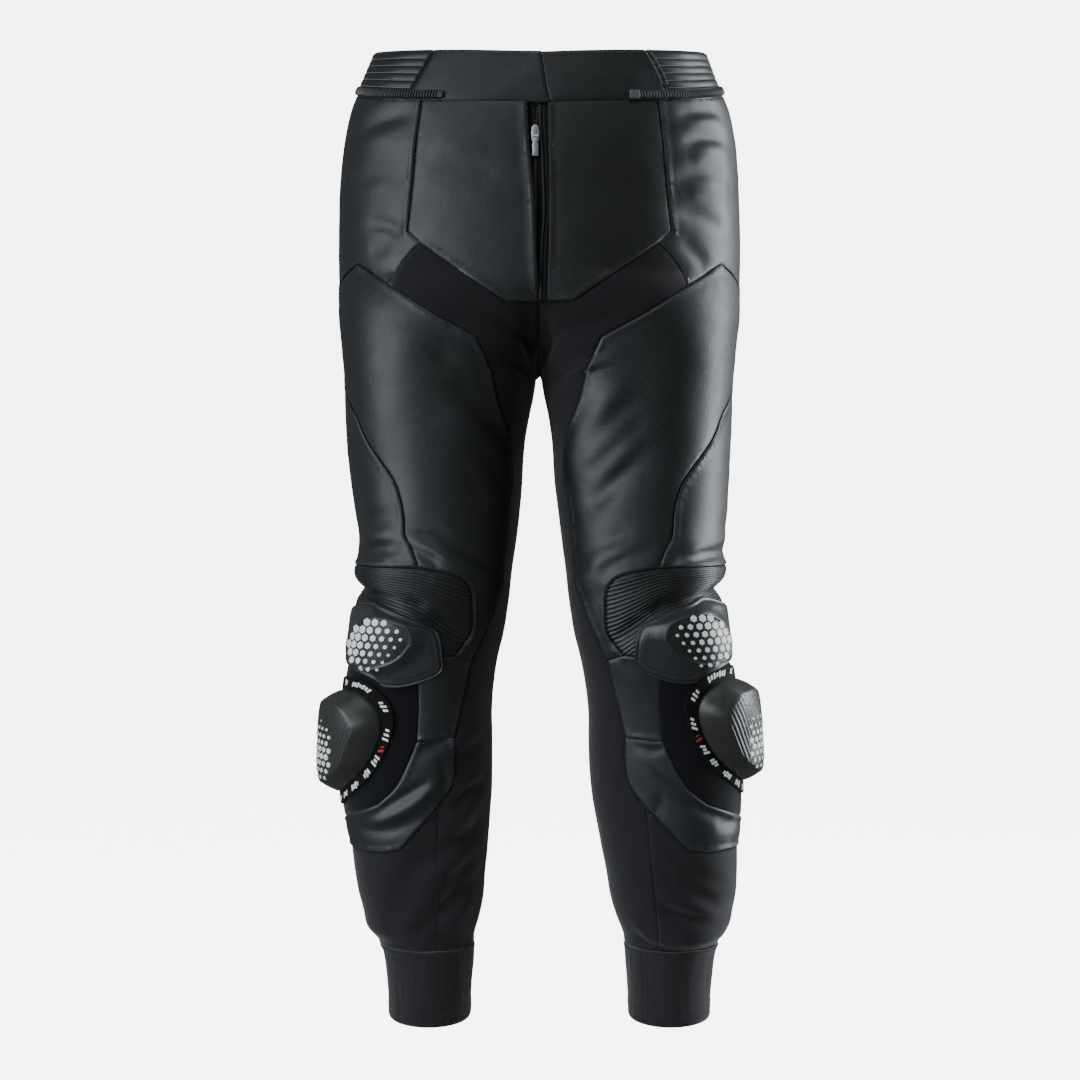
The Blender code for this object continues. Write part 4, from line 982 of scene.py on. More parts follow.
def thread(name, colour):
    f = Finish(name, colour, 0.6, Sheen_Weight=0.2)
    f.set("Base Color", f.mixed(f.noise(400.0, 2.0), shade(colour, 0.75), shade(colour, 1.2)))
    f.relief(f.noise(3000.0, 1.0), 0.05)
    return f.material


MOULDED = moulded("moulded guard", (0.0250, 0.0268, 0.0284), 0.38)
MOULDED_SOFT = moulded("moulded rim", (0.0150, 0.0160, 0.0168), 0.44)
SLIDER_PLASTIC = moulded("slider plastic", (0.0285, 0.0288, 0.0278), 0.38)
# painted shade: flat black pieces stand for the shaded insides of the guard's slots
SLOT_SHADE = moulded("slot shade", (0.002, 0.002, 0.002), 0.7)
WHITE = moulded("white inlay", (0.82, 0.82, 0.81), 0.5)
RED_THREAD = thread("red mark", (0.35, 0.02, 0.02))
METAL = metal("zip metal", (0.70, 0.71, 0.73), 0.36)
COIL = moulded("zip coil", (0.050, 0.051, 0.053), 0.36)
DARK_STOP = moulded("dark zip stop", (0.010, 0.010, 0.011), 0.4)
STOP = moulded("zip stop", (0.110, 0.112, 0.115), 0.42)
THREAD = thread("dark thread", (0.020, 0.021, 0.023))
# painted highlight: a light grey thread for stitch lines that catch light
HIGHLIGHT_THREAD = thread("highlight thread", (0.16, 0.165, 0.17))
print("finishes:", len(bpy.data.materials))

# %% [markdown]
# ## Small creases
#
# The large folds above are also in the imported solids. These smaller ones are only here: drapes that run down
# the inner thigh, rolls above the knee, wrinkles below the slider's patch, and similar ones at the back, which
# the photograph does not show but a worn pair has. Each row is a width, a depth and the points of a line. A
# depth above 0 is a trough and one below 0 is a ridge.

# %% Creases, listed one by one
Crease = namedtuple("Crease", "width depth path")


def creases(point, *rows):
    return tuple(Crease(width, depth, tuple(point(*p) for p in path)) for width, depth, *path in rows)


CREASES = creases(
    Round,
    (9, 3.0, (240, -513), (300, -534), (350, -541)),
    (8, 3.0, (252, -547), (310, -553), (344, -577)),
    (9, 2.5, (236, -577), (290, -571), (320, -580)),
    (10, 2.0, (346, -500), (318, -492), (280, -496)),
    (13, 4.0, (356, -262), (322, -284), (268, -291)),
    (12, 2.6, (350, -303), (304, -331), (252, -334)),
    (10, 2.0, (353, -234), (330, -243), (300, -240)),
    (14, 1.8, (262, -62), (300, -74), (345, -70)),
    (9, 1.6, (290, -28), (330, -36)),
    (10, 2.5, (240, -698), (290, -719), (340, -714)),
    (9, 2.4, (228, -762), (296, -776), (350, -764)),
    (8, 2.4, (220, -818), (276, -834), (340, -824)),
    (6, 2.0, (238, -850), (286, -857), (326, -851)),
    (12, 1.6, (192, -322), (203, -361), (206, -404)),
    (14, 1.5, (186, -120), (204, -150), (224, -158)),
)
CREASES_RIGHT = creases(
    Seen,
    # hips
    (16, 1.7, (118, -95), (78, -88), (38, -98)),
    (14, -1.2, (109, -72), (50, -76)),
    (9, 3.2, (177, -56), (149, -43), (126, -39)),
    (12, -2.4, (182, -71), (140, -63)),
    (10, 2.2, (190, -110), (160, -98), (132, -104)),
    (7, 3.4, (134, -160), (152, -151), (172, -148)),
    (8, 2.2, (146, -168), (170, -178)),
    # crotch
    (6, 4.2, (10, -232), (6, -290)),
    (9, 3.6, (96, -240), (56, -248), (16, -263)),
    (6, 3.6, (44, -243), (26, -256), (8, -272)),
    (7, -2.2, (40, -262), (22, -276), (10, -292)),
    (6, 2.6, (38, -286), (20, -294), (5, -306)),
    # thigh
    (9, 1.1, (150, -246), (110, -251), (76, -263)),
    (14, 1.1, (112, -281), (80, -283)),
    (12, 3.8, (88, -302), (63, -328), (30, -362)),
    (11, -2.6, (92, -325), (66, -349), (33, -381)),
    (10, 2.6, (67, -361), (45, -392), (35, -420)),
    (9, 1.2, (76, -398), (50, -430)),
    # above the knee
    (7, 3.0, (141, -447), (100, -462), (60, -484), (39, -505)),
    (9, -3.8, (133, -461), (104, -476), (66, -497), (47, -514)),
    (5, 4.0, (131, -471), (110, -482), (98, -490)),
    (8, -3.2, (174, -463), (142, -459)),
    (9, 2.8, (182, -440), (160, -443), (140, -436)),
    (6, 4.0, (179, -479), (152, -473), (136, -477)),
    # shin and calf
    (5, 4.0, (124, -678), (100, -669), (84, -667)),
    (5, 3.0, (172, -743), (136, -721), (110, -705)),
    (6, -3.0, (170, -750), (131, -730), (101, -705)),
    (6, 2.6, (187, -754), (151, -754), (120, -741)),
    (5, 2.0, (100, -684), (96, -698), (95, -712)),
    (5, 2.0, (117, -730), (97, -725), (87, -719)),
    (7, 3.6, (50, -652), (76, -681), (84, -692)),
    (7, -3.2, (49, -683), (83, -716), (89, -743)),
    (7, 4.4, (51, -696), (76, -719), (89, -744)),
    (8, -3.0, (52, -712), (86, -743), (115, -762)),
    (9, 5.0, (51, -730), (86, -767), (127, -798)),
    (8, -3.4, (57, -757), (96, -791), (128, -805)),
    (9, 4.6, (62, -792), (96, -828), (134, -860)),
    (8, -2.6, (70, -820), (100, -846), (128, -866)),
    (6, 2.6, (97, -862), (122, -852), (141, -860)),
)
CREASES_LEFT = creases(
    Seen,
    # hips
    (20, 1.2, (20, -92), (60, -112), (110, -102)),
    (6, 3.0, (137, -41), (160, -36), (180, -37)),
    (8, -2.6, (140, -52), (162, -49), (182, -50)),
    (7, 4.0, (142, -68), (165, -62), (184, -64)),
    (9, -3.0, (150, -84), (168, -78), (190, -80)),
    (8, 3.4, (134, -104), (160, -96), (184, -94)),
    (9, -2.6, (146, -118), (166, -114), (190, -120)),
    (8, 3.6, (137, -137), (160, -141), (182, -150)),
    (8, 2.8, (140, -166), (156, -178), (169, -193)),
    # crotch
    (6, 4.2, (7, -236), (4, -290)),
    (12, -2.6, (62, -280), (34, -304)),
    (9, 2.8, (88, -236), (48, -250), (16, -262)),
    (6, 3.2, (30, -246), (14, -264), (4, -288)),
    (7, 2.6, (36, -292), (20, -302), (8, -318)),
    # thigh
    (10, 4.0, (101, -318), (66, -354), (36, -386)),
    (10, -2.8, (86, -308), (52, -348)),
    (9, 3.2, (110, -336), (76, -373), (45, -402)),
    (8, -2.4, (101, -361), (58, -408)),
    (9, 3.0, (101, -379), (66, -416), (50, -433)),
    # above the knee
    (8, 1.6, (95, -453), (60, -472)),
    (8, -3.0, (113, -462), (66, -481), (50, -495)),
    (6, 3.2, (117, -472), (77, -490), (59, -504)),
    (9, -3.2, (139, -478), (164, -468), (186, -461)),
    (5, 4.0, (133, -491), (158, -482), (187, -474)),
    # shin and calf
    (4, 2.4, (92, -669), (111, -676), (128, -671)),
    (6, 3.0, (106, -693), (133, -717), (168, -738), (190, -743)),
    (5, -2.4, (115, -690), (140, -716), (174, -731)),
    (4, 2.0, (128, -705), (154, -721), (187, -733)),
    (5, 1.8, (119, -717), (116, -742)),
    (5, 2.0, (172, -751), (192, -747)),
    (8, 2.8, (120, -776), (152, -800), (186, -812)),
    (9, -3.2, (116, -819), (146, -830), (174, -841)),
    (7, 4.4, (108, -828), (128, -841), (174, -853)),
    (6, -3.4, (84, -846), (104, -863), (142, -867), (176, -855)),
    (5, 3.4, (84, -858), (106, -873), (142, -877), (174, -867)),
    (4, 2.2, (106, -822), (126, -838), (150, -845), (176, -845)),
    (4, 1.6, (112, -782), (124, -800), (127, -822)),
    (5, 1.6, (140, -812), (156, -822), (172, -830)),
)
print("creases:", len(CREASES + CREASES_RIGHT + CREASES_LEFT))

# %% [markdown]
# ## The panels
#
# Each panel is now cut, laid on the form and given its wall. The distance to its seams is kept as an attribute,
# which the leather's finish reads.

# %% Make the panels of leather, stretch cloth and pile
Piece = namedtuple("Piece", "panel kind finish step")
PIECES = (
    Piece("outer_side", "leather", LEATHER, 4.2),
    Piece("thigh_front", "leather", LEATHER, 3.8),
    Piece("seat_and_thigh_back", "leather", LEATHER, 5.0),
    Piece("shin_upper", "leather", LEATHER, 3.5),
    Piece("shin_lower", "leather", LEATHER, 3.5),
    Piece("slider_patch", "pile", PILE, 4.0),
    Piece("inner_stretch", "stretch", STRETCH, 4.5),
    Piece("calf_front", "stretch", STRETCH, 4.0),
    Piece("calf_back", "stretch", STRETCH, 5.0),
)
CLOTHS = {}
# where painted shade lies on the wearer's left yoke: full up to the first distance, then fading over the second
PAINTED_SHADE_FROM, PAINTED_SHADE_WIDTH = 6.0, 78.0  # millimetres from the middle plane
SEAM_REACH = 5.0


ARCH_PRESS, ARCH_WIDTH = 2.4, 50  # millimetres, and degrees round the form
FOLD_STRIP_ENDS, FOLD_SLOPE_WIDTH = (5.6, 8.0), 42.0
BELOW_ARCH = 30  # how far below the crotch the two sides still have to be kept apart


def pressed_arch(side, degrees, z):
    """Just below the crotch the two legs nearly touch, so the cloth lies flat there, with no swell."""
    off = (degrees + 180) % 360 - 180
    return -ARCH_PRESS * bell(off / ARCH_WIDTH) * soft_step(-440, -350, z) * (1 - soft_step(-300, -275, z))


class FlyFold:
    """A yoke along the fly: a raised or lowered strip, and a slow rise towards it.

    unrolled is the share of the edge's roll that is taken back.
    """

    def __init__(self, seam_name, strip, slope, unrolled=0.0):
        self.seam_name, self.strip, self.slope, self.unrolled = seam_name, strip, slope, unrolled
        self.finder = None

    def __call__(self, side, degrees, z):
        self.finder = self.finder or SeamFinder(side, [SEAMS[self.seam_name]])
        distance, _ = self.finder.look(degrees, z)
        fold = self.strip * (1 - soft_step(*FOLD_STRIP_ENDS, distance)) * soft_step(-238, -205, z)
        fold += self.unrolled * EDGE_ROLL * bell(distance / ROLL_WIDTH)
        return fold + self.slope * bell(distance / FOLD_SLOPE_WIDTH)


RELIEFS = {
    "inner_stretch": pressed_arch,
    "yoke_front_right": FlyFold("fly_right", 0.9, 2.6),
    "yoke_front_left": FlyFold("fly_left", -0.7, 0.8, unrolled=1.0),
}


def mark(bm, attribute, values):
    """Keeps a number for each vertex where a finish can read it."""
    layer = bm.verts.layers.float.new(attribute)
    for v, value in zip(bm.verts, values):
        v[layer] = value


def mark_seams(bm, distance):
    """Keeps how near each vertex is to a seam, from 0 to 1."""
    mark(bm, "near_seam", np.exp(-distance / SEAM_REACH))


def sew_panel(side, piece, node):
    cloth = CLOTHS[side, piece.panel] = Cloth(side, piece.panel, piece.kind, RELIEFS.get(piece.panel))
    bm = cut_panel(piece.panel, piece.step)
    places = flat_points(bm) / (PATTERN_SCALE, 1)
    mark_seams(bm, cloth.all_edges.look(*places.T)[0])
    if piece.panel == "yoke_front_left":  # painted shade, darkest near the fly
        x = bare_place(side, *places.T)[:, 0]
        mark(bm, "painted_shade", bell(np.maximum(x - PAINTED_SHADE_FROM, 0.0) / PAINTED_SHADE_WIDTH))
    size = rolled_out(bm, side, places)
    laid(bm, side, places, cloth.lift(*places.T))
    close_middle(bm, side, places)
    obj = finished(f"{node}_cloth", bm, piece.finish, KINDS[piece.kind].wall, replaces=(node,))
    held = "stretched" if piece.kind == "stretch" else "hung"
    declare(obj, size)


def close_middle(bm, side, places):
    """Above the crotch no side passes the middle plane, and the edges that are sewn there lie on it."""
    near = 1.5 * MIDDLE
    for v, (degrees, z) in zip(bm.verts, places):
        if z > CROTCH_Z - BELOW_ARCH:
            sewn = abs(degrees - 360) < near or (abs(degrees) < near and CROTCH_Z < z < CROTCH_FRONT.z + 1)
            v.co.x = 0.0 if sewn else side * max(side * v.co.x, 0.0)


for side, called in SIDES.items():
    for piece in PIECES:
        sew_panel(side, piece, f"{piece.panel}_{called}")
    yoke = Piece(f"yoke_front_{called}", "leather", LEATHER, 3.8)
    sew_panel(side, yoke, yoke.panel)
print("panels sewn:", len(CLOTHS))

# %% [markdown]
# ## Ribbed leather at the knees
#
# The leather over each knee is quilted into padded rolls so that it can bend. The rolls fan out: close together
# on the outer side, where the knee pinches them, and wide apart on the inner side. So the flat piece is cut in a
# frame that counts ribs instead of millimetres, and its rows follow the rolls exactly.

# %% Ribs across a knee
RIB_COUNT = 21
RIB_ROWS = 8
RIB_UNIT = 4.0  # millimetres of flat pattern for each rib
RIB_PITCH_BELOW = 4.2
RIB_HEIGHT, RIB_LOWEST, RIB_HIGHEST = 0.36, 0.6, 1.3  # share of a rib's own width, and limits in millimetres
KNEE_COLUMN = 4.6
RIB_FULLNESS = 1.15  # how much longer the leather is before it is quilted
RIB_TOP = np.array([(20.0, -506.0), placed(Seen(73, -504)), placed(Seen(120, -493)), (SIDE_BACK_LEG, -487.0)])
RIB_FOOT = np.array([
    (20.0, -602.0), (40, -598), (60, -592), (75, -580), (95, -558), (130, -538), (180, -528), (SIDE_BACK_LEG, -530),
])


def rib_lines(degrees):
    """Heights of the first rib and of the last one that fans out."""
    top = np.interp(degrees, RIB_TOP[:, 0], RIB_TOP[:, 1])
    return top, through(RIB_FOOT[:, 0], RIB_FOOT[:, 1], degrees)


def rib_at(degrees, z):
    top, foot = rib_lines(degrees)
    return np.where(z > foot, (top - z) / (top - foot) * RIB_COUNT, RIB_COUNT + (foot - z) / RIB_PITCH_BELOW)


def height_of_rib(degrees, rib):
    top, foot = rib_lines(degrees)
    return np.where(rib < RIB_COUNT, top - rib / RIB_COUNT * (top - foot), foot - (rib - RIB_COUNT) * RIB_PITCH_BELOW)


def rib_relief(side, degrees, z):
    top, foot = rib_lines(degrees)
    rib = rib_at(degrees, z)
    size = np.clip(RIB_HEIGHT * (top - foot) / RIB_COUNT, RIB_LOWEST, RIB_HIGHEST)
    uneven = np.array([noise.noise(Vector((math.floor(r) * 3.7, d / 45.0, side))) for r, d in zip(rib, degrees)])
    fullness = np.clip(rib / 0.8, 0, 1)
    return size * (1 + 0.3 * uneven) * fullness * (np.abs(np.sin(np.pi * rib)) ** 0.65 - 0.35)


def sew_knee(side, called):
    places = PANELS["knee_stretch"]
    flat = np.stack([places[:, 0] * PATTERN_SCALE, -RIB_UNIT * rib_at(*places.T)], axis=-1)
    low, high = flat.min(axis=0), flat.max(axis=0)
    columns = lines_between(low[0], high[0], KNEE_COLUMN)
    rows = lines_between(low[1], high[1], RIB_UNIT / RIB_ROWS)
    bm = cut_flat(flat, columns, rows)
    across, up = flat_points(bm).T
    degrees = across / PATTERN_SCALE
    places = np.stack([degrees, height_of_rib(degrees, -up / RIB_UNIT)], axis=-1)
    cloth = CLOTHS[side, "knee_stretch"] = Cloth(side, "knee_stretch", "ribbed", rib_relief)
    mark_seams(bm, cloth.all_edges.look(*places.T)[0])
    size = rolled_out(bm, side, places, RIB_FULLNESS)
    laid(bm, side, places, cloth.lift(*places.T))
    name = f"knee_stretch_{called}"
    obj = finished(f"{name}_cloth", bm, RIBBED_LEATHER, KINDS["ribbed"].wall, replaces=(name,))
    declare(obj, size)
    return obj


for side, called in SIDES.items():
    knee = sew_knee(side, called)
print("faces in one knee:", len(knee.data.polygons))

# %% [markdown]
# ## The waistband
#
# The band is a strip round the waist, higher behind than in front. Its two front halves lap at the fly, its sides
# are ribbed like the knees so that the waist can give, and its back is plain.

# %% Sew the waistband
BAND_SCALE = 2.7  # millimetres of band for each degree round the waist
BAND_HEIGHT = 50.0
BAND_SIDE_END = 110.0
BAND_GAP = 0.1  # between the waist seam and the band's foot
BAND_RIBS = 6
BAND_RIBS_FROM, BAND_RIBS_TALL = 0.10, 0.86  # shares of the band's height
BAND_LAP_X = ((0, 6.0), (0.35, 3.6), (1, 1.0))  # share of the band's height, and where the front halves lap
BAND_SLANTS = {  # share of the height, and degrees that the joint of front and side is moved back
    RIGHT: ((0, 5.6), (0.3, 3.8), (0.7, 1.6), (1, -0.2)), LEFT: ((0, 3.6), (0.5, 3.0), (0.8, 1.6), (1, -0.4)),
}


def height_at(heights, angles):
    return through(WAIST_ANGLES, heights, 180 - np.abs(180 - np.abs(angles)))


def band_foot(angles):
    return height_at(WAIST_SEAM_HEIGHTS, angles) + BAND_GAP


def on_waist_form(angles, z, lift=0.0):
    """Points in metres round the waist: angles from the centre front, below 0 on the wearer's right."""
    angles, z = np.broadcast_arrays(np.asarray(angles, float), np.asarray(z, float))
    lift = np.broadcast_to(lift, angles.shape)
    turned = (angles + 180) % 360 - 180
    points = np.empty((*angles.shape, 3))
    for side, here in ((RIGHT, turned < 0), (LEFT, turned >= 0)):
        points[here] = on_form(side, round_of(np.abs(turned[here]), z[here]), z[here], lift[here])
    return points


def band_ribs(share):
    """Flat rolls across the band with a narrow groove between them, in millimetres, by share of its height."""
    rib = (share - BAND_RIBS_FROM) / BAND_RIBS_TALL * BAND_RIBS
    inside = (rib > 0) & (rib < BAND_RIBS)
    return np.where(inside, 1.2 * np.abs(np.sin(np.pi * rib)) ** 0.38 - 0.5, 0.0)


def slanted(angles, share):
    """Angles round the waist after the joints of the front and side pieces are given their slant."""
    turned = (angles + 180) % 360 - 180
    for side, slant in BAND_SLANTS.items():
        near = np.exp(-(((side * turned - YOKE_WAIST_ANGLE) / 12.0) ** 2)) * (side * turned > 0)
        angles = angles + side * np.interp(share, *zip(*slant)) * near
    return angles


BAND_COLUMN, LAP_FADE = 4.0, 30  # millimetres, and degrees over which the lap's slant fades
BAND_ROLL_REACH, BAND_SWELL, BAND_STITCH_INSET = 9.0, 0.8, 3.0
UNDER_DROP, UNDER_ENDS = 2.8, (2.0, 3.4)  # how far a piece goes down where it passes under its neighbour
# how far from the fly a band half is raised, in millimetres, and how far its painted shade reaches, in degrees
RAISED_WIDTH, PAINTED_SHADE_LAP_WIDTH = 16.0, 17.0


def sew_band(name, start, end, replaces, rows, relief=None, lap=None, raised=0.0, painted_shade=0.0, under=None):
    """One piece of the band, from one angle to another.

    lap moves the end at the fly and raised lifts the piece near it. The next argument paints shade near the fly,
    as darker and rougher leather. under is the angle where a piece goes under its neighbour.
    """
    left, right = start * BAND_SCALE, end * BAND_SCALE
    corners = [(left, 0), (right, 0), (right, BAND_HEIGHT), (left, BAND_HEIGHT)]
    bm = cut_flat(corners, lines_between(left, right, BAND_COLUMN), rows)
    across, up = flat_points(bm).T
    angles, share = across / BAND_SCALE, up / BAND_HEIGHT
    to_fly = np.minimum(np.abs(angles), LAP_FADE)
    if lap:
        angles = angles + lap(share) * (1 - to_fly / LAP_FADE)
    angles = slanted(angles, share)
    foot = band_foot(angles)
    tall = height_at(BAND_TOP_HEIGHTS, angles) - foot
    side_gap = np.minimum(across - left, right - across)
    distance = np.minimum(np.minimum(share, 1 - share) * tall, side_gap)
    lift = BAND_SWELL * (1 - np.exp(-distance / BAND_ROLL_REACH)) - EDGE_ROLL * bell(distance / ROLL_WIDTH) - 0.1
    lift -= STITCH_DEPTH * bell((share * tall - BAND_STITCH_INSET) / TROUGH_WIDTH)
    points, seed = np.stack([across, up, 0 * share], axis=-1), len(name)
    slack = 0.8 if relief else 1.0
    uneven = roughness_of(points, 44.0, seed) * 2.0 + roughness_of(points, 15.0, seed) * 0.4
    lift += slack * uneven * (1 - np.exp(-distance / CALM_REACH))
    if relief is not None:
        lift += relief(share) * soft_step(0, 3.0, side_gap)
    if under is not None:
        lift -= UNDER_DROP * (1 - soft_step(*UNDER_ENDS, np.abs(across - under * BAND_SCALE)))
    lift += raised * bell(to_fly * BAND_SCALE / RAISED_WIDTH)
    mark_seams(bm, distance)
    # painted shade near the fly: darker and rougher leather
    if painted_shade:
        mark(bm, "painted_shade", painted_shade * bell(to_fly / PAINTED_SHADE_LAP_WIDTH))
    place_pattern(bm)
    moved_to(bm, on_waist_form(angles, foot + tall * share, lift))
    finish = LEATHER if relief is None else RIBBED_LEATHER
    obj = finished(name, bm, finish, KINDS["leather"].wall, replaces=replaces)
    around = np.linspace(start, end, 200)
    run = on_waist_form(around, 0.5 * (band_foot(around) + height_at(BAND_TOP_HEIGHTS, around)))
    length, fullness = reach_along(run)[-1], 1.0 if relief is None else RIB_FULLNESS
    declare(obj, (length, tall.max() * fullness * MM, length * tall.mean() * fullness * MM))


def lap_angle(share):
    """Where the front halves meet, in degrees from the centre front."""
    return np.interp(share, *zip(*BAND_LAP_X)) / 2.0


plain_rows = lines_between(0, BAND_HEIGHT, 3.5)
steps = BAND_RIBS * 9
ribbed_rows = (np.arange(1, steps) / steps * BAND_RIBS_TALL + BAND_RIBS_FROM) * BAND_HEIGHT
at_joint = YOKE_WAIST_ANGLE - 0.1
# the wearer's left front half is painted in shade near the fly
sew_band("band_front_left", 0, at_joint, ("waistband_front_left",), plain_rows, lap=lap_angle, painted_shade=1.0)
sew_band("band_front_right", -at_joint, 0, ("waistband_front_right",), plain_rows, lap=lap_angle, raised=1.8)
for side, called in SIDES.items():
    under = side * (YOKE_WAIST_ANGLE - 0.7)
    ends = sorted((under, side * (BAND_SIDE_END - 0.1)))
    sew_band(f"band_side_{called}", *ends, (f"waistband_side_{called}",), ribbed_rows, band_ribs, under=under)
sew_band("band_back", BAND_SIDE_END + 0.1, 359.9 - BAND_SIDE_END, ("waistband_back",), plain_rows)

# %% [markdown]
# ## Cuffs
#
# Each cuff is a tube of a similar stretch cloth, doubled over at the hem. A grid is bent round the leg and its
# first and last columns are merged.

# %% Sew the cuffs
CUFF_SEAMS = (52.0, 232.0)
CUFF_GRID = (180, 40)
CUFF_GIRTH, CUFF_HEIGHT = 470, 72  # of the flat piece
CUFF_RADIUS = 75  # of the ring that its unevenness is read from
HEM_TALL, HEM_THICK = 16.2, 0.45


def unit_grid(columns, rows):
    """A bmesh grid, and its vertices as two shares from 0 to 1."""
    bm = bmesh.new()
    bmesh.ops.create_grid(bm, x_segments=columns, y_segments=rows, size=0.5)
    return bm, flat_points(bm) + 0.5


def sew_cuff(side, called):
    bm, flat = unit_grid(*CUFF_GRID)
    degrees, share = flat[:, 0] * 360, flat[:, 1]
    slope = -np.cos(np.radians(degrees - 90))
    top, foot = CUFF_SEAM_Z + CUFF_SEAM_TILT * slope - 0.3, HEM_Z + HEM_TILT * slope
    z = foot + (top - foot) * share
    ends = np.minimum(z - foot, top - z)
    turns = np.radians(degrees)
    points = np.stack([CUFF_RADIUS * np.cos(turns), CUFF_RADIUS * np.sin(turns), z], axis=-1)
    lift = 0.9 * roughness_of(points * (1, 1, 0.5), 30.0, 3 + side)
    lift += 0.4 * roughness_of(points * (1, 1, 0.3), 9.0, 5 + side)
    lift = lift * soft_step(0, 6, ends) - 0.7 * bell(ends / 1.2) + 0.3
    lift += HEM_THICK * (1 - soft_step(HEM_TALL - 0.7, HEM_TALL + 0.8, z - foot))
    lift -= 0.35 * bell((z - foot - HEM_TALL) / 0.8)
    lift += 1.6 * bell((top - z) / 5.0) * soft_step(0, 2, top - z)  # gathered under the calf's cloth
    for seam_at in CUFF_SEAMS:
        lift -= 0.9 * bell((degrees - seam_at) / 1.1) - 0.35 * bell((degrees - seam_at) / 4.0)
    moved_to(bm, [(across * CUFF_GIRTH, up * CUFF_HEIGHT, 0) for across, up in flat])
    place_pattern(bm)
    moved_to(bm, on_form(side, degrees, z, lift))
    if side == RIGHT:
        bmesh.ops.reverse_faces(bm, faces=bm.faces)
    bmesh.ops.remove_doubles(bm, verts=bm.verts, dist=0.00005)
    obj = finished(f"cuff_{called}_cloth", bm, CUFF_KNIT, KINDS["stretch"].wall, replaces=(f"cuff_{called}",))
    run = on_form(side, np.linspace(0, 360, 200), np.full(200, z.mean()), np.zeros(200))
    girth, tall = reach_along(run)[-1], (top - foot).mean() * MM
    declare(obj, (girth, tall, girth * tall))
    return obj


for side, called in SIDES.items():
    cuff = sew_cuff(side, called)
print("faces in one cuff:", len(cuff.data.polygons))

# %% [markdown]
# ## Moulded parts
#
# The knee guard, the base of the slider and the slider itself are moulded. Each has an outline on the form and a
# height that depends on how far inside the outline a place lies. The distance from the edge shapes the rim, which
# has the same width all round, and the share of the way to the middle shapes the dome.

# %% Moulded shapes
GUARD = (
    Round(181, -541), Seen(176, -526), Seen(155, -532), Seen(109, -552), Seen(100, -559), Seen(97, -577),
    Seen(98, -596), Seen(120, -607), Seen(140, -612), Seen(155, -611), Seen(166, -603), Round(161, -584),
    Round(172, -568), Round(181, -556),
)
SLIDER = (
    Round(148, -608), Seen(176, -615), Seen(162, -630), Seen(158, -648), Seen(166, -674), Seen(182, -697),
    Round(158, -709), Round(172, -706), Round(184, -692), Round(190, -664), Round(190, -636), Round(180, -617),
    Round(164, -608),
)
GUARD_RISE = {RIGHT: 0.0, LEFT: 4.0}
SLIDER_RISE = {RIGHT: -4.0, LEFT: 7.0}


def closed_curve(points, count, rise=0.0):
    """A smooth closed outline through points, as places on the form at equal distances."""
    places = np.array([placed(p) for p in points]) + (0, rise)
    n = len(places)
    knots = np.arange(-3, n + 4)
    at = np.arange(0, n, 0.05)
    dense = np.stack([through(knots, places[knots % n, k], at) for k in (0, 1)], axis=-1)
    loop = np.vstack([dense, dense[:1]])
    reach = reach_along(loop * (PATTERN_SCALE, 1))
    at = np.arange(count) / count * reach[-1]
    return np.stack([np.interp(at, reach, column) for column in loop.T], axis=-1)


def steps_through(knots, at):
    """A profile: a curve through (place, height) pairs that never swings past them."""
    places, heights = np.array(knots, float).T
    secant = np.diff(heights) / np.diff(places)
    before, after = np.append(0, secant), np.append(secant, 0)
    same_way = before * after > 0
    slopes = np.where(same_way, 2 * before * after / np.where(same_way, before + after, 1), 0)
    return hermite(places, heights, slopes, at)


MOULD_COLUMNS = 168


def middle_of(places):
    return (places.min(axis=0) + places.max(axis=0)) / 2


class Moulding:
    """A moulded part with an outline on one side's form. height(inset, share, x, y) gives its face."""

    def __init__(self, side, points, rise, height):
        self.side, self.height = side, height
        self.places = closed_curve(points, MOULD_COLUMNS, rise)
        self.centre = middle_of(self.places)
        across, up = self.flat(self.places)
        turns = np.arctan2(up, across)
        order = np.argsort(turns)
        self.turns = np.concatenate([turns[order] - 2 * math.pi, turns[order], turns[order] + 2 * math.pi])
        self.radii = np.tile(np.hypot(across, up)[order], 3)

    def flat(self, places):
        """Millimetres across and up from the centre."""
        return (places[..., 0] - self.centre[0]) * PATTERN_SCALE, places[..., 1] - self.centre[1]

    def lift(self, places):
        across, up = self.flat(places)
        radius = np.interp(np.arctan2(up, across), self.turns, self.radii)
        reach = np.hypot(across, up)
        return self.height(radius - reach, reach / radius, across, up)

    def points(self, places, above=0.0):
        return on_form(self.side, places[:, 0], places[:, 1], self.lift(places) + above)

    def mesh(self, insets, shares):
        """Rings at distances from the edge, then at shares of what is left, and a point in the middle."""
        rings = len(insets) + len(shares)
        bm, flat = unit_grid(MOULD_COLUMNS, rings - 1)
        column = np.round(flat[:, 0] * MOULD_COLUMNS).astype(int) % MOULD_COLUMNS
        ring_at = np.round(flat[:, 1] * (rings - 1)).astype(int)
        around = self.places[column]
        across, up = self.flat(around)
        radius = np.hypot(across, up)
        inset = np.append(insets, [insets[-1]] * len(shares))[ring_at]
        left = np.append([1.0] * len(insets), shares)[ring_at]
        share = (1 - inset / radius) * left
        places = self.centre + (around - self.centre) * share[:, None]
        lift = self.height(radius * (1 - share), share, across * share, up * share)
        moved_to(bm, on_form(self.side, places[:, 0], places[:, 1], lift))
        bmesh.ops.remove_doubles(bm, verts=bm.verts, dist=0.00002)
        bmesh.ops.recalc_face_normals(bm, faces=bm.faces)
        return bm


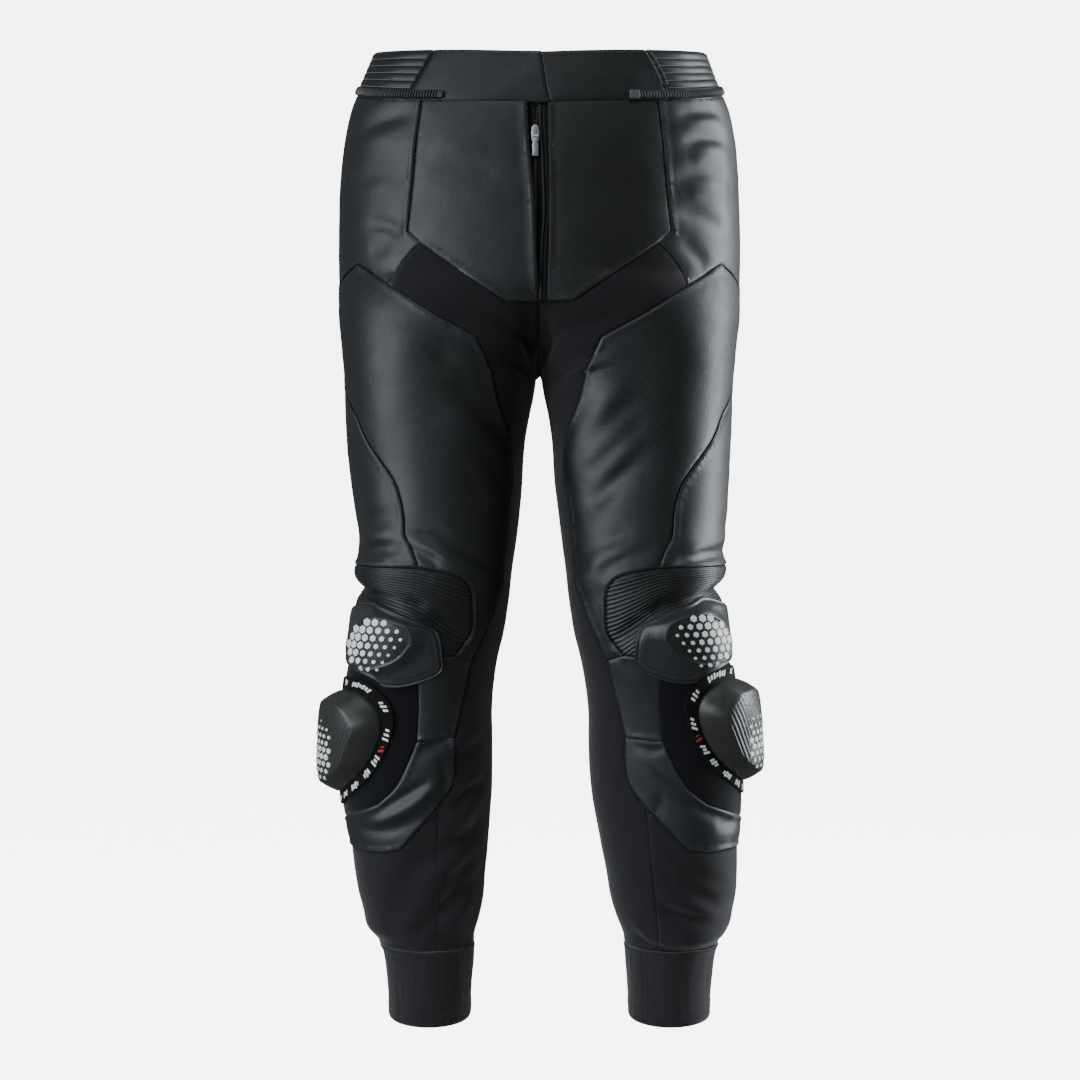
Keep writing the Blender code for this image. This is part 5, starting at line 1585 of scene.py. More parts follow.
GUARD_EDGE = (
    (0, 1.0), (0.35, 3.0), (1.0, 4.0), (1.7, 4.3), (2.4, 4.0), (3.0, 3.2), (3.6, 2.9), (4.2, 3.3), (5.2, 4.3),
    (6.5, 4.7), (60, 4.7),
)
GUARD_DOME = ((0, 6.6), (0.4, 6.5), (0.62, 6.1), (0.7, 5.4), (0.8, 3.4), (0.9, 1.2), (1.0, 0.2), (1.1, 0), (9, 0))
FIELD_MIDDLE, FIELD_SIZE = (-5.0, 2.0), (59.0, 40.0)  # of the dome, inside a flange that is widest on the inner side
FIELD_SHARE = 0.66


def field_share(x, y):
    """0 in the middle of the guard's dome and 1 at its foot, on lines that are nearly hexagons."""
    across, up = (x - FIELD_MIDDLE[0]) / FIELD_SIZE[0], (y - FIELD_MIDDLE[1]) / FIELD_SIZE[1]
    slanting = 0.6 * np.abs(across) + 0.8 * np.abs(up) + 0.12 * across * np.sign(up)
    return (np.abs(across) ** 4 + np.abs(up) ** 4 + np.abs(slanting) ** 4) ** 0.25


def guard_height(inset, share, x, y):
    dome = field_share(x, y)
    height = steps_through(GUARD_EDGE, inset) + steps_through(GUARD_DOME, dome) * soft_step(3.6, 9, inset)
    field = 1 - soft_step(FIELD_SHARE - 0.04, FIELD_SHARE, dome)
    return height - 1.0 * field + 0.6 * bell((dome - FIELD_SHARE - 0.025) / 0.025)


MOULDINGS = {}
for side, called in SIDES.items():
    guard = Moulding(side, GUARD, GUARD_RISE[side], guard_height)
    MOULDINGS[side] = [guard]
    insets = (-0.25, 0.0, 0.2, 0.45, 0.8, 1.4, 2.2, 3.0, 3.7, 4.2, 4.6, 5.0, 5.4, 6.0, 7.0, 8.5)
    bm = guard.mesh(insets, np.concatenate([np.linspace(0.97, 0.05, 66), [0.0]]))
    guard_obj = finished(f"guard_{called}", bm, MOULDED, 1.2, replaces=(f"knee_guard_{called}",))
print("faces in one guard:", len(guard_obj.data.polygons))

# %% Slider and its base
SLIDER_WALL = ((0, 2.0), (0.4, 3.0), (1.2, 4.2), (60, 4.2))
SLIDER_DOME = (
    (0, 20.6), (0.3, 20.4), (0.54, 19.4), (0.61, 18.6), (0.645, 17.2), (0.68, 15.6), (0.84, 8.4), (0.97, 1.4), (1, 0),
)
SLIDER_STEEPER, SLIDER_OUTER_STEEPER = 1.2, 0.6  # how much steeper its ends and its outer side are
SLIDER_FACE, SLIDER_RIB_PITCH = 0.62, 4.0


def slider_height(inset, share, x, y):
    reach = np.maximum(x * x + y * y, 1e-6)
    upright, outwards = y * y / reach, np.clip(x, 0, None) ** 2 / reach
    share = share ** (1 + SLIDER_STEEPER * upright + SLIDER_OUTER_STEEPER * outwards)
    height = steps_through(SLIDER_WALL, inset) + steps_through(SLIDER_DOME, share)
    face = 1 - soft_step(SLIDER_FACE - 0.05, SLIDER_FACE, share)
    ribs = np.abs(np.sin(math.pi * (0.94 * x + 0.34 * y) / SLIDER_RIB_PITCH)) ** 0.5
    return height + face * (1.1 * ribs - 0.7)


BASE_SHARE = 1.25
BASE_EDGE = ((0, 1.2), (0.3, 2.1), (0.9, 2.5), (60, 2.5))


def base_height(inset, share, x, y):
    return steps_through(BASE_EDGE, inset)


def enlarged(points, share, rise):
    """An outline enlarged about its centre, as places."""
    places = closed_curve(points, 160, rise)
    centre = middle_of(places)
    return [Round(*p) for p in centre + (places - centre) * share]


for side, called in SIDES.items():
    slider = Moulding(side, SLIDER, SLIDER_RISE[side], slider_height)
    insets = (-0.1, 0.0, 0.15, 0.4, 0.8, 1.3, 2.0)
    bm = slider.mesh(insets, np.concatenate([np.linspace(0.97, 0.82, 9), np.linspace(0.81, 0.05, 66), [0.0]]))
    finished(f"slider_{called}", bm, SLIDER_PLASTIC, 1.6, replaces=(f"knee_slider_{called}",))
    base = Moulding(side, enlarged(SLIDER, BASE_SHARE, SLIDER_RISE[side]), 0.0, base_height)
    bm = base.mesh((-0.1, 0.0, 0.2, 0.5, 0.9, 2.0), np.linspace(0.96, 0.6, 10))
    finished(f"slider_base_{called}_tape", bm, BASE_TAPE, 0.8, replaces=(f"slider_base_{called}",))
    MOULDINGS[side] += [slider, base]
print("moulded parts:", 3 * len(MOULDINGS))

# %% [markdown]
# ## Many small things
#
# Stitches, zip teeth and inlays are many copies of a small shape. One bmesh makes the shape, and arrays put its
# copies in place, so each kind becomes one mesh.

# %% Copies of a small shape
def points_and_faces(bm):
    bm.verts.index_update()
    points = np.array([v.co[:] for v in bm.verts])
    faces = [[v.index for v in face.verts] for face in bm.faces]
    bm.free()
    return points, faces


def ball(subdivisions):
    bm = bmesh.new()
    bmesh.ops.create_icosphere(bm, subdivisions=subdivisions, radius=1.0)
    return points_and_faces(bm)


def block(bevel, segments=1):
    """A cube of size 1 with bevelled edges."""
    bm = bmesh.new()
    bmesh.ops.create_cube(bm, size=1.0)
    bmesh.ops.bevel(bm, geom=bm.edges[:], offset=bevel, segments=segments, affect="EDGES", profile=0.5)
    return points_and_faces(bm)


def copies(name, shape, centres, axes, material, replaces=()):
    """One mesh of copies. centres are in metres, axes are three rows for each copy, in metres per unit."""
    points, faces = shape
    whole = (np.einsum("pk,nkj->npj", points, axes) + centres[:, None]).reshape(-1, 3)
    flipped = np.linalg.det(axes) < 0
    every = []
    for i, turned in enumerate(flipped):
        start = i * len(points)
        every += [[start + k for k in (face[::-1] if turned else face)] for face in faces]
    mesh = bpy.data.meshes.new(name)
    mesh.from_pydata(whole.tolist(), [], every)
    return linked(name, mesh, material, "trousers", replaces)


def unit(vectors):
    return vectors / np.linalg.norm(vectors, axis=-1, keepdims=True)


def frames_along(points, normals):
    """Axes for copies on a line: along it, across it and out of the cloth, each of length 1."""
    along = unit(np.gradient(points, axis=0))
    across = unit(np.cross(normals, along))
    return np.stack([along, across, unit(np.cross(along, across))], axis=1)


def sized(frames, *lengths):
    """Axes with the given lengths in millimetres."""
    return frames * np.array(lengths)[:, None] * MM


def outward(side, degrees, z):
    normal = normal_at(angle_of(degrees, z), z)
    normal[..., 0] *= side
    return normal


def spaced(points, pitch):
    """Where along a line of points in metres the copies go, as fractional indices."""
    reach = reach_along(points) / MM
    at = np.arange(pitch / 2, reach[-1] - pitch / 2, pitch)
    return np.interp(at, reach, np.arange(len(points)))


# %% [markdown]
# ## Stitches
#
# A topstitch runs a few millimetres inside the edge of the panel that laps over. To keep that distance even, the
# seam is moved sideways on the form itself, where a degree is not the same length everywhere.

# %% Sew the topstitches
STITCH_PITCH, STITCH_LENGTH, STITCH_WIDTH = 3.3, 2.7, 0.42
THREAD_FLATNESS = 0.8  # a thread's thickness as a share of its width


def inside(outline_places, place):
    """Whether a place lies inside a closed outline."""
    crossings = 0
    for (x0, y0), (x1, y1) in zip(outline_places, np.roll(outline_places, -1, axis=0)):
        if (y0 > place[1]) != (y1 > place[1]) and place[0] < x0 + (place[1] - y0) / (y1 - y0) * (x1 - x0):
            crossings += 1
    return crossings % 2 == 1


def beside(line, inset):
    """A line of places moved sideways on the form by inset millimetres."""
    degrees, z = line.T

    def point(degrees, z):
        return bare_point(angle_of(degrees, z), z)

    a = point(degrees + 0.5, z) - point(degrees - 0.5, z)
    b = point(degrees, z + 0.5) - point(degrees, z - 0.5)
    sideways = unit(np.cross(np.cross(a, b), np.gradient(point(degrees, z), axis=0))) * inset
    aa, ab, bb = (a * a).sum(-1), (a * b).sum(-1), (b * b).sum(-1)
    sa, sb = (sideways * a).sum(-1), (sideways * b).sum(-1)
    whole = aa * bb - ab * ab
    return line + np.stack([(sa * bb - sb * ab) / whole, (sb * aa - sa * ab) / whole], axis=-1)


def stitches_on(cloth, line):
    """Centres and axes of the stitches along a line of places on one panel."""
    dense = read_at(line, np.linspace(0, len(line) - 1, 4 * len(line)))
    points = on_form(cloth.side, dense[:, 0], dense[:, 1])
    at = spaced(points, STITCH_PITCH)
    if len(at) < 2:
        return np.empty((0, 3)), np.empty((0, 3, 3))
    places = read_at(dense, at)
    lift = cloth.lift(places[:, 0], places[:, 1])
    centres = on_form(cloth.side, places[:, 0], places[:, 1], lift + 0.05)
    axes = frames_along(centres, outward(cloth.side, places[:, 0], places[:, 1]))
    return centres, sized(axes, STITCH_LENGTH / 2, STITCH_WIDTH, STITCH_WIDTH * THREAD_FLATNESS)


STITCH_ROWS = (  # each panel's edges, and how far inside them the stitches run
    (
        "outer_side",
        ("yoke_side", 2.2), ("thigh_outer", 2.4), ("knee_top_outer", 2.2), ("gusset_curve", 2.2),
        ("waist_side", 2.4),
    ),
    ("yoke_front", ("yoke_side", 2.2), ("yoke_slant_inner", 2.4), ("yoke_foot", 2.4)),
    ("yoke_front_right", ("fly_right", 6.8)),
    ("outer_side", ("yoke_side", 5.6)),
    ("thigh_front", ("thigh_top_outer", 2.4), ("thigh_top_inner", 2.4), ("thigh_inner", 2.4), ("knee_inner", 2.2)),
    ("shin_upper", ("knee_foot_inner", 2.0), ("inner_shin", 2.2), ("shin_join", 2.0)),
    ("shin_lower", ("shin_point", 2.2), ("shin_foot_slant", 2.2), ("shin_foot", 2.2), ("patch_foot", 2.0)),
    (
        "seat_and_thigh_back",
        ("side_back_thigh", 2.4), ("inner_back_behind", 2.4), ("back_foot", 2.4), ("centre_back", 2.4),
        ("waist_back", 2.4), ("side_back_knee", 2.2),
    ),
)
STITCH = ball(1)
total = 0
for side, called in SIDES.items():
    sewn = []
    for panel, edge, inset in ((panel, *row) for panel, *rows in STITCH_ROWS for row in rows):
        panel = f"yoke_front_{called}" if panel == "yoke_front" else panel
        if (side, panel) not in CLOTHS:
            continue
        line = SEAMS["yoke_foot_left" if (edge, side) == ("yoke_foot", LEFT) else edge]
        line = read_at(line, np.linspace(0, len(line) - 1, 3 * len(line)))
        moved = beside(line, inset)
        if not inside(PANELS[panel], moved[len(moved) // 2]):
            moved = beside(line, -inset)
        sewn.append(stitches_on(CLOTHS[side, panel], moved))
    centres, axes = (np.concatenate(part) for part in zip(*sewn))
    copies(f"topstitch_{called}", STITCH, centres, axes, THREAD)
    total += len(centres)
print("stitches:", total)

# %% [markdown]
# ## The fly
#
# The fly stands open a little at the waist, and its zip shows in the gap: a tape, two rows of moulded teeth that
# the slider has closed below it, the slider and its pull tab. The wearer's left side has a facing with a piped
# edge that reaches into the gap.

# %% Fly zip and facing
FLY_DROP = 3.2
FLY_FOOT_Z, FLY_TOP_Z = -196.0, -46.0
PIPING = ((-44, -1.4), (-60, -1.2), (-85, 0.4), (-120, 2.0), (-153, 2.6), (-182, 0.4), (-236, -0.9))  # height, x
FACING_FOOT_Z, FACING_END_X = -235.5, 13.0
TOOTH_PITCH = 1.9
SLIDER_X, PIVOT_Z, PIVOT_FORWARD = -4.5, -77.0, 4.8
FRONT_REACH = 195  # the form's half width at the front, which turns x into an angle there
TAPE_START_X, TAPE_WIDTH = -14, 23
PIPING_WIDTH, PIPING_HEIGHT = 2.6, 1.7
STRIP_WIDTH, STRIP_LENGTH = 20, 180  # of every strip's flat pattern


def fly_points(x, z, lift):
    """Points in metres on the front of the form near the middle plane, x and z in millimetres."""
    x, z, lift = (np.asarray(v, float) for v in np.broadcast_arrays(x, z, lift))
    points = np.empty((*x.shape, 3))
    for side, here in ((RIGHT, x < 0), (LEFT, x >= 0)):
        angle = np.degrees(np.arctan2(np.abs(x[here]), FRONT_REACH))
        points[here] = on_form(side, round_of(angle, z[here]), z[here], lift[here])
    points[..., 0] = x * MM
    return points


def strip(name, columns, rows, place, material, wall, **owner):
    """A grid of columns x rows laid by a function of two shares from 0 to 1."""
    bm, flat = unit_grid(columns, rows)
    moved_to(bm, [(across * STRIP_WIDTH, up * STRIP_LENGTH, 0) for across, up in flat])
    place_pattern(bm)
    moved_to(bm, place(*flat.T))
    return finished(name, bm, material, wall, **owner)


def tape_place(across, up):
    x, z = TAPE_START_X + TAPE_WIDTH * across, FLY_FOOT_Z + (FLY_TOP_Z - FLY_FOOT_Z) * up
    return fly_points(x, z, -FLY_DROP - 0.1)


def facing_place(across, up):
    """The facing comes out from under the wearer's left yoke and ends in a piped edge."""
    z = FACING_FOOT_Z + (FLY_TOP_Z - FACING_FOOT_Z) * up
    heights, places = np.array(sorted(PIPING)).T
    edge = through(heights, places, z)
    x = edge + (FACING_END_X - edge) * across
    from_edge = x - edge
    roll = PIPING_HEIGHT * np.sqrt(np.clip(1 - (2 * from_edge / PIPING_WIDTH - 1) ** 2, 0, 1))
    hidden = 0.7 * soft_step(PIPING_WIDTH, 4.5, from_edge) + 1.2 * soft_step(5.0, 8.0, from_edge)
    return fly_points(x, z, -1.5 + roll - hidden - 0.4 * soft_step(-40, -60, z))


tape = strip("fly_tape", 12, 60, tape_place, TAPE, 0.5, replaces=("fly_zip_tape",))
facing = strip("fly_facing", 32, 70, facing_place, LEATHER, 0.8)
# the facing lies in the shade of the yoke's edge, so all of it is painted in shade: darker, rougher leather
painted_shade = facing.data.attributes.new("painted_shade", "FLOAT", "POINT")
painted_shade.data.foreach_set("value", np.full(len(facing.data.vertices), 1.0))

STAY_TOP, STAY_FOOT, STAY_WIDTH, STAY_DEPTH = -520.0, -575.0, 11.0, 3.1
for side, called in SIDES.items():
    line = SEAMS["knee_inner"]
    line = line[(line[:, 1] < STAY_TOP) & (line[:, 1] > STAY_FOOT)]
    line = line[np.argsort(line[:, 1])]

    def stay_place(across, up):
        z = STAY_FOOT + (STAY_TOP - STAY_FOOT) * up
        turns = np.interp(z, line[:, 1], line[:, 0]) + (across - 0.5) * STAY_WIDTH / PATTERN_SCALE
        return on_form(side, turns, z, np.full(len(z), -STAY_DEPTH))

    stay = strip(f"knee_stay_tape_{called}", 4, 24, stay_place, TAPE, 0.4)
    size = (STAY_WIDTH * MM, (STAY_TOP - STAY_FOOT) * MM)

heights = np.arange(FLY_FOOT_Z + 2, FLY_TOP_Z - 1, TOOTH_PITCH / 2)
offsets = np.where(np.arange(len(heights)) % 2, 0.55, -0.55)
opened = 1.5 * soft_step(PIVOT_Z + 4, PIVOT_Z + 26, heights)  # the rows part above the slider
centres = fly_points(SLIDER_X + offsets + np.sign(offsets) * opened, heights, -FLY_DROP + 0.75)
axes = sized(np.tile(np.eye(3), (len(heights), 1, 1)), 3.0, 1.5, 0.75)
copies("fly_teeth", block(0.18), centres, axes, COIL)

# %% Fly slider and pull tab
pivot_at = fly_points(SLIDER_X, PIVOT_Z, 0.9 - FLY_DROP) - np.array([0, PIVOT_FORWARD, 0]) * MM
BAR_RADIUS, EYE_BORE, EYE_RADIUS = 0.6, 0.68, 1.5
TAB_WIDTH, TAB_THICKNESS, TAB_LENGTH, TAB_HEAD = 3.6, 1.2, 19.0, 5.8


def new_verts(made):
    return [item for item in made["geom"] if isinstance(item, bmesh.types.BMVert)]


def shifted(bm, **vector):
    for axis, distance in vector.items():
        for v in bm.verts:
            setattr(v.co, axis, getattr(v.co, axis) + distance)
    return bm


def plate(profile, thickness, bevel):
    """A flat plate from a closed profile of (x, z) points, with bevelled rims, centred on y = 0."""
    bm = bmesh.new()
    face = bm.faces.new([bm.verts.new((x, -thickness / 2, z)) for x, z in profile])
    pushed = bmesh.ops.extrude_face_region(bm, geom=[face])
    bmesh.ops.translate(bm, vec=(0, thickness, 0), verts=new_verts(pushed))
    bmesh.ops.recalc_face_normals(bm, faces=bm.faces)
    rims = [e for e in bm.edges if abs(e.verts[0].co.y - e.verts[1].co.y) < 1e-6]
    bmesh.ops.bevel(bm, geom=rims, offset=bevel, segments=2, affect="EDGES", profile=0.5, clamp_overlap=True)
    return bm


def rounded(points, radius, count=5):
    """A closed polygon with its corners rounded."""
    out = []
    n = len(points)
    for i in range(n):
        before, at, after = (np.array(points[k % n], float) for k in (i - 1, i, i + 1))
        start = at + (before - at) / np.linalg.norm(before - at) * radius
        end = at + (after - at) / np.linalg.norm(after - at) * radius
        for t in np.linspace(0, 1, count):
            out.append(tuple((1 - t) ** 2 * start + 2 * t * (1 - t) * at + t * t * end))
    return out


def placed_part(name, bms, material, body, replaces):
    """Joins bmeshes in millimetres from the pivot into one piece."""
    whole = bmesh.new()
    for bm in bms:
        mesh = bpy.data.meshes.new("part")
        bm.to_mesh(mesh)
        bm.free()
        whole.from_mesh(mesh)
        bpy.data.meshes.remove(mesh)
    bmesh.ops.scale(whole, vec=(MM, MM, MM), verts=whole.verts)
    bmesh.ops.translate(whole, vec=pivot_at, verts=whole.verts)
    obj = finished(name, whole, material, body=body, replaces=replaces)
    obj.data.set_sharp_from_angle(angle=math.radians(35))
    return obj


def upright_box(half_width, foot, top):
    return [(-half_width, foot), (half_width, foot), (half_width, top), (-half_width, top)]


def along_x(bm):
    """Turns a bmesh that stands along z so that it lies along x."""
    for v in bm.verts:
        v.co = (v.co.z, v.co.x, v.co.y)
    return bm


body_profile = [
    (-3.2, -5.0), (3.2, -5.0), (4.0, 3.0), (3.2, 9.4), (1.4, 11.0), (-1.4, 11.0), (-3.2, 9.4), (-4.0, 3.0),
]
body = shifted(plate(rounded(body_profile, 0.8), 2.2, 0.4), y=2.9)
cheeks = [shifted(plate(rounded(upright_box(0.5, -1.5, 1.5), 0.2), 4.0, 0.15), x=x, y=1.0) for x in (-2.55, 2.55)]
bar = bmesh.new()
bmesh.ops.create_cone(bar, cap_ends=True, segments=24, radius1=BAR_RADIUS, radius2=BAR_RADIUS, depth=4.9)
along_x(bar)
placed_part("fly_slider", [body, *cheeks, bar], METAL, "trousers", ("fly_zip_slider",))

head, neck = TAB_HEAD / 2, TAB_WIDTH / 2
tab_profile = [
    (-head, -TAB_LENGTH), (head, -TAB_LENGTH), (head, -7.4), (neck, -5.4), (neck, -1.3), (-neck, -1.3),
    (-neck, -5.4), (-head, -7.4),
]
tab = plate(rounded(tab_profile, 0.6), TAB_THICKNESS, 0.25)


def eye():
    """The tab's eye: a tube whose two ends are drawn in to the bore, which joins them."""
    bm = bmesh.new()
    bmesh.ops.create_circle(bm, segments=32, radius=EYE_RADIUS)
    outer = bm.edges[:]
    pushed = bmesh.ops.extrude_edge_only(bm, edges=outer)
    bmesh.ops.translate(bm, vec=(0, 0, TAB_WIDTH), verts=new_verts(pushed))
    edges = [item for item in pushed["geom"] if isinstance(item, bmesh.types.BMEdge)]
    share = EYE_BORE / EYE_RADIUS
    for rim in (outer, [e for e in edges if all(v.co.z > 1 for v in e.verts)]):
        inner = bmesh.ops.extrude_edge_only(bm, edges=rim)
        bmesh.ops.scale(bm, vec=(share, share, 1), verts=new_verts(inner))
    bmesh.ops.bridge_loops(bm, edges=[e for e in bm.edges if e.is_boundary])
    bmesh.ops.recalc_face_normals(bm, faces=bm.faces)
    return shifted(along_x(bm), x=-TAB_WIDTH / 2)


grip = shifted(plate(rounded(upright_box(1.7, -17.4, -9.2), 0.7), 0.7, 0.2), y=-0.55)
placed_part("pull", [tab, eye(), grip], METAL, "pull_tab", ("fly_pull_tab",))

# %% [markdown]
# ## The zip that joins the jacket
#
# A coarse coil zip runs over the foot of the band, round the back from hip to hip. Its coil is a row of small
# rounded bars across the tape, and a block stops each end.

# %% Jacket zip
JACKET_ZIP_ENDS = (-29.5, 28.0)
JACKET_TAPE_FOOT, JACKET_TAPE_WIDTH = 0.8, 9.0
COIL_LEVEL = 5.2  # of the coil's middle above the band's foot
COIL_PITCH = 3.0
COIL_SIZE = (1.05, 4.3, 1.6)
JACKET_STOPS = {  # angle, size and finish of each end block
    "right": (JACKET_ZIP_ENDS[0], (6.0, 7.0, 2.6), DARK_STOP), "left": (JACKET_ZIP_ENDS[1], (10.0, 8.6, 2.9), STOP),
}


def zip_place(across, up):
    angles = JACKET_ZIP_ENDS[1] + (360 + JACKET_ZIP_ENDS[0] - JACKET_ZIP_ENDS[1]) * across
    z = band_foot(angles) + JACKET_TAPE_FOOT + JACKET_TAPE_WIDTH * up
    return on_waist_form(angles, z, 1.5 - 0.5 * (2 * up - 1) ** 2)


def on_coil(angles, above):
    return on_waist_form(angles, band_foot(angles) + COIL_LEVEL, above)


tape = strip("jacket_zip_tape", 260, 4, zip_place, TAPE, 0.8, replaces=("jacket_zip",))
angles = np.linspace(JACKET_ZIP_ENDS[1] + 1.0, 359 + JACKET_ZIP_ENDS[0], 3000)
middle_line = on_coil(angles, 2.0)
at = spaced(middle_line, COIL_PITCH)
centres = read_at(middle_line, at)
above = read_at(on_coil(angles, 3.0), at)
axes = sized(frames_along(centres, unit(above - centres)), *COIL_SIZE)
copies("jacket_zip_coil", ball(2), centres, axes, COIL)
for called, (angle, size, finish) in JACKET_STOPS.items():
    line = on_waist_form(np.array([angle - 1.5, angle, angle + 1.5]), band_foot(angle) + COIL_LEVEL, 2.3)
    out = unit(on_coil(angle, 3.3) - line[1])
    axes = sized(frames_along(line, np.tile(out, (3, 1)))[1:2], *size)
    node = f"jacket_zip_end_{called}"
    copies(f"jacket_zip_stop_{called}", block(0.12, 3), line[1:2], axes, finish, replaces=(node,))
print("teeth:", len(heights), "coil bars:", len(at))

# %% [markdown]
# ## Thread lines on the waistband
#
# A thread lies in each groove of the ribbed sides, and stitches run along the band's top edge, down both sides
# of the joints and beside the lap over the fly. Where these lines catch light, in the grooves, at the joints on the
# wearer's left and at the edge of the lap, the thread is painted light grey as a highlight; the rest is dark.

# %% Sew the waistband's lines
FINE_PITCH, FINE_LENGTH, FINE_WIDTH = 3.0, 2.6, 0.42


def band_line(angles, share, above):
    """Points and outward directions along a line on the band, above its face."""
    angles, share = np.broadcast_arrays(np.asarray(angles, float), np.asarray(share, float))
    foot = band_foot(angles)
    z = foot + (height_at(BAND_TOP_HEIGHTS, angles) - foot) * share
    bent = slanted(angles, share)
    points = on_waist_form(bent, z, above)
    return points, unit(on_waist_form(bent, z, above + 1.0) - points)


def sew_line(angles, share, above, pitch, length, width):
    points, out = band_line(angles, share, above)
    at = spaced(points, pitch)
    centres = read_at(points, at)
    axes = frames_along(centres, unit(read_at(out, at)))
    return centres, sized(axes, length / 2, width, width * THREAD_FLATNESS)


light, dark = [], []
for side in SIDES:
    sides = np.linspace(side * (YOKE_WAIST_ANGLE + 0.8), side * (BAND_SIDE_END - 1.0), 160)
    # the threads in the grooves are painted light as a highlight
    for rib in range(1, BAND_RIBS):
        share = BAND_RIBS_FROM + BAND_RIBS_TALL * rib / BAND_RIBS
        light.append(sew_line(sides, share, 1.45, 2.6, 2.9, FINE_WIDTH))
    ups = np.linspace(0.24 if side == RIGHT else 0.3, 0.97, 60)
    for beside_joint in (-1.0, 1.1):
        angle = side * (YOKE_WAIST_ANGLE + beside_joint)
        # the joint stitches on the wearer's left, where the band is lit, are painted light as a highlight
        rows, width = (light, 0.6) if side == LEFT else (dark, 0.4)
        rows.append(sew_line(np.full(60, angle), ups, 1.4, FINE_PITCH, 2.8, width))
around = np.linspace(-BAND_SIDE_END, 359 - BAND_SIDE_END, 900)
dark.append(sew_line(around, 0.935, 1.15, STITCH_PITCH, FINE_LENGTH, 0.4))
ups = np.linspace(0.04, 0.97, 60)
# beside the lap, the line at the edge is painted light as a highlight and the other one is dark
for rows, beside_lap, above in ((dark, -1.6, 1.9), (light, 0.25, 1.5)):
    rows.append(sew_line(beside_lap + lap_angle(ups), ups, above, FINE_PITCH, FINE_LENGTH, FINE_WIDTH))
for name, rows, material in (("band_highlight_thread", light, HIGHLIGHT_THREAD), ("band_dark_thread", dark, THREAD)):
    centres, axes = (np.concatenate(part) for part in zip(*rows))
    copies(name, STITCH, centres, axes, material)
print("band stitches:", sum(len(row[0]) for row in light + dark))

# %% [markdown]
# ## Inlays
#
# The hard parts carry light inlays. Here they are a plain pattern of hexagons that grow towards the outer side,
# and groups of short slanted bars round the base of the slider. Small dark scales lie under the guard's hexagons,
# and a row of slots follows its rim: flat black pieces that paint the shade inside each slot.

# %% White inlays on the hard parts
HEX_TURNS = math.pi / 6 + np.arange(6) * math.pi / 3
STUD_FOOT, STUD_WALL, STUD_FACE = -0.6, 0.6, 0.9  # its foot's level, and shares of its height and its width


def millimetres_per_degree(side, place):
    """How long a degree round the form is at one place."""
    degrees, z = place
    return np.linalg.norm(bare_place(side, degrees + 0.5, z) - bare_place(side, degrees - 0.5, z))


def studs(name, moulding, centres, sizes, height, material):
    """Bevelled flat hexagons that follow a moulded face. centres are millimetres from its middle."""
    bm = bmesh.new()
    rings = ((1.0, STUD_FOOT), (1.0, height * STUD_WALL), (STUD_FACE, height), (0.0, height))
    scale = (millimetres_per_degree(moulding.side, moulding.centre), 1)
    for centre, size in zip(centres, sizes):
        middle = moulding.lift(moulding.centre + np.array([centre]) / scale)
        loops = []
        for share, above in rings:
            turns = HEX_TURNS if share else HEX_TURNS[:1]
            corners = centre + size * share * np.stack([np.cos(turns), np.sin(turns)], axis=-1)
            places = moulding.centre + corners / scale
            level = 0.5 * middle + 0.5 * moulding.lift(places)
            points = on_form(moulding.side, places[:, 0], places[:, 1], level + above)
            loops.append([bm.verts.new(p) for p in points])
        for low, high in zip(loops, loops[1:]):
            for i, j in zip(range(6), (1, 2, 3, 4, 5, 0)):
                bm.faces.new((low[i], low[j], high[0]) if len(high) == 1 else (low[i], low[j], high[j], high[i]))
    bmesh.ops.recalc_face_normals(bm, faces=bm.faces)
    obj = finished(name, bm, material)
    obj.data.set_sharp_from_angle(angle=math.radians(40))


def hex_field(pitch, columns, rows, keep):
    """Centres and shares of a hexagonal grid, for those places that keep() gives a size above 0."""
    centres, sizes = [], []
    for row in range(-rows, rows + 1):
        for column in range(-columns, columns + 1):
            x = (column + 0.5 * (row % 2)) * pitch
            y = row * pitch * math.sqrt(3) / 2
            size = keep(x, y)
            if size > 0:
                centres.append((x, y))
                sizes.append(size)
    return centres, sizes


def guard_studs(x, y):
    """Large at the upper outer side of the guard's field, small towards its lower inner side."""
    reach = math.hypot((x + 3) / 31, y / 26)
    along = ((x + 3) * 0.86 + y * 0.5) / 31
    return 0.0 if reach > 1 or along < -0.85 else 1.2 + 3.0 * min(max((along + 0.85) / 1.35, 0), 1)


def guard_scales(x, y):
    """Small dark scales over the whole field, under the white ones."""
    return 1.7 if field_share(np.array(x), np.array(y)) < FIELD_SHARE - 0.06 else 0.0


def slider_studs(x, y):
    reach = math.hypot((x - 4) / 19, (y + 9) / 30)
    return 0.0 if reach > 1 else 3.5 - 2.2 * abs(y + 12) / 30


GROUPS = (  # where each group of bars starts, in degrees from straight inwards, and the heights of its bars
    (-104, (4.6, 6.0)), (-88, (6.4, 4.4, 5.6)), (-66, (5.6, 4.4, 6.2, 3.6)), (-40, (3.8, 6.4, 5.0)),
    (-22, (6.2, 4.0, 5.4)), (4, (6.2, 5.2, 4.0)), (28, (5.0, 6.4, 4.2)),
    (52, (6.2, 4.6, 5.6, 3.8, 6.0, 4.8, 5.4)), (90, (5.0, 6.2)),
)
BAR_PITCH, BAR_WIDTH, BAR_THICKNESS = 3.5, 2.5, 0.35  # millimetres, the first two along the tape
TAPE_RADIUS, TAPE_SHARE = 52.0, 0.91  # the ring that the bars stand on, in millimetres and of the base's outline
BARS = [  # turn, width and height of each
    (start + math.degrees(i * BAR_PITCH / TAPE_RADIUS), BAR_WIDTH, height)
    for start, heights in GROUPS for i, height in enumerate(heights)
]
MARK = ((-7, 2.6, 6.0), (-3, 1.4, 4.0))


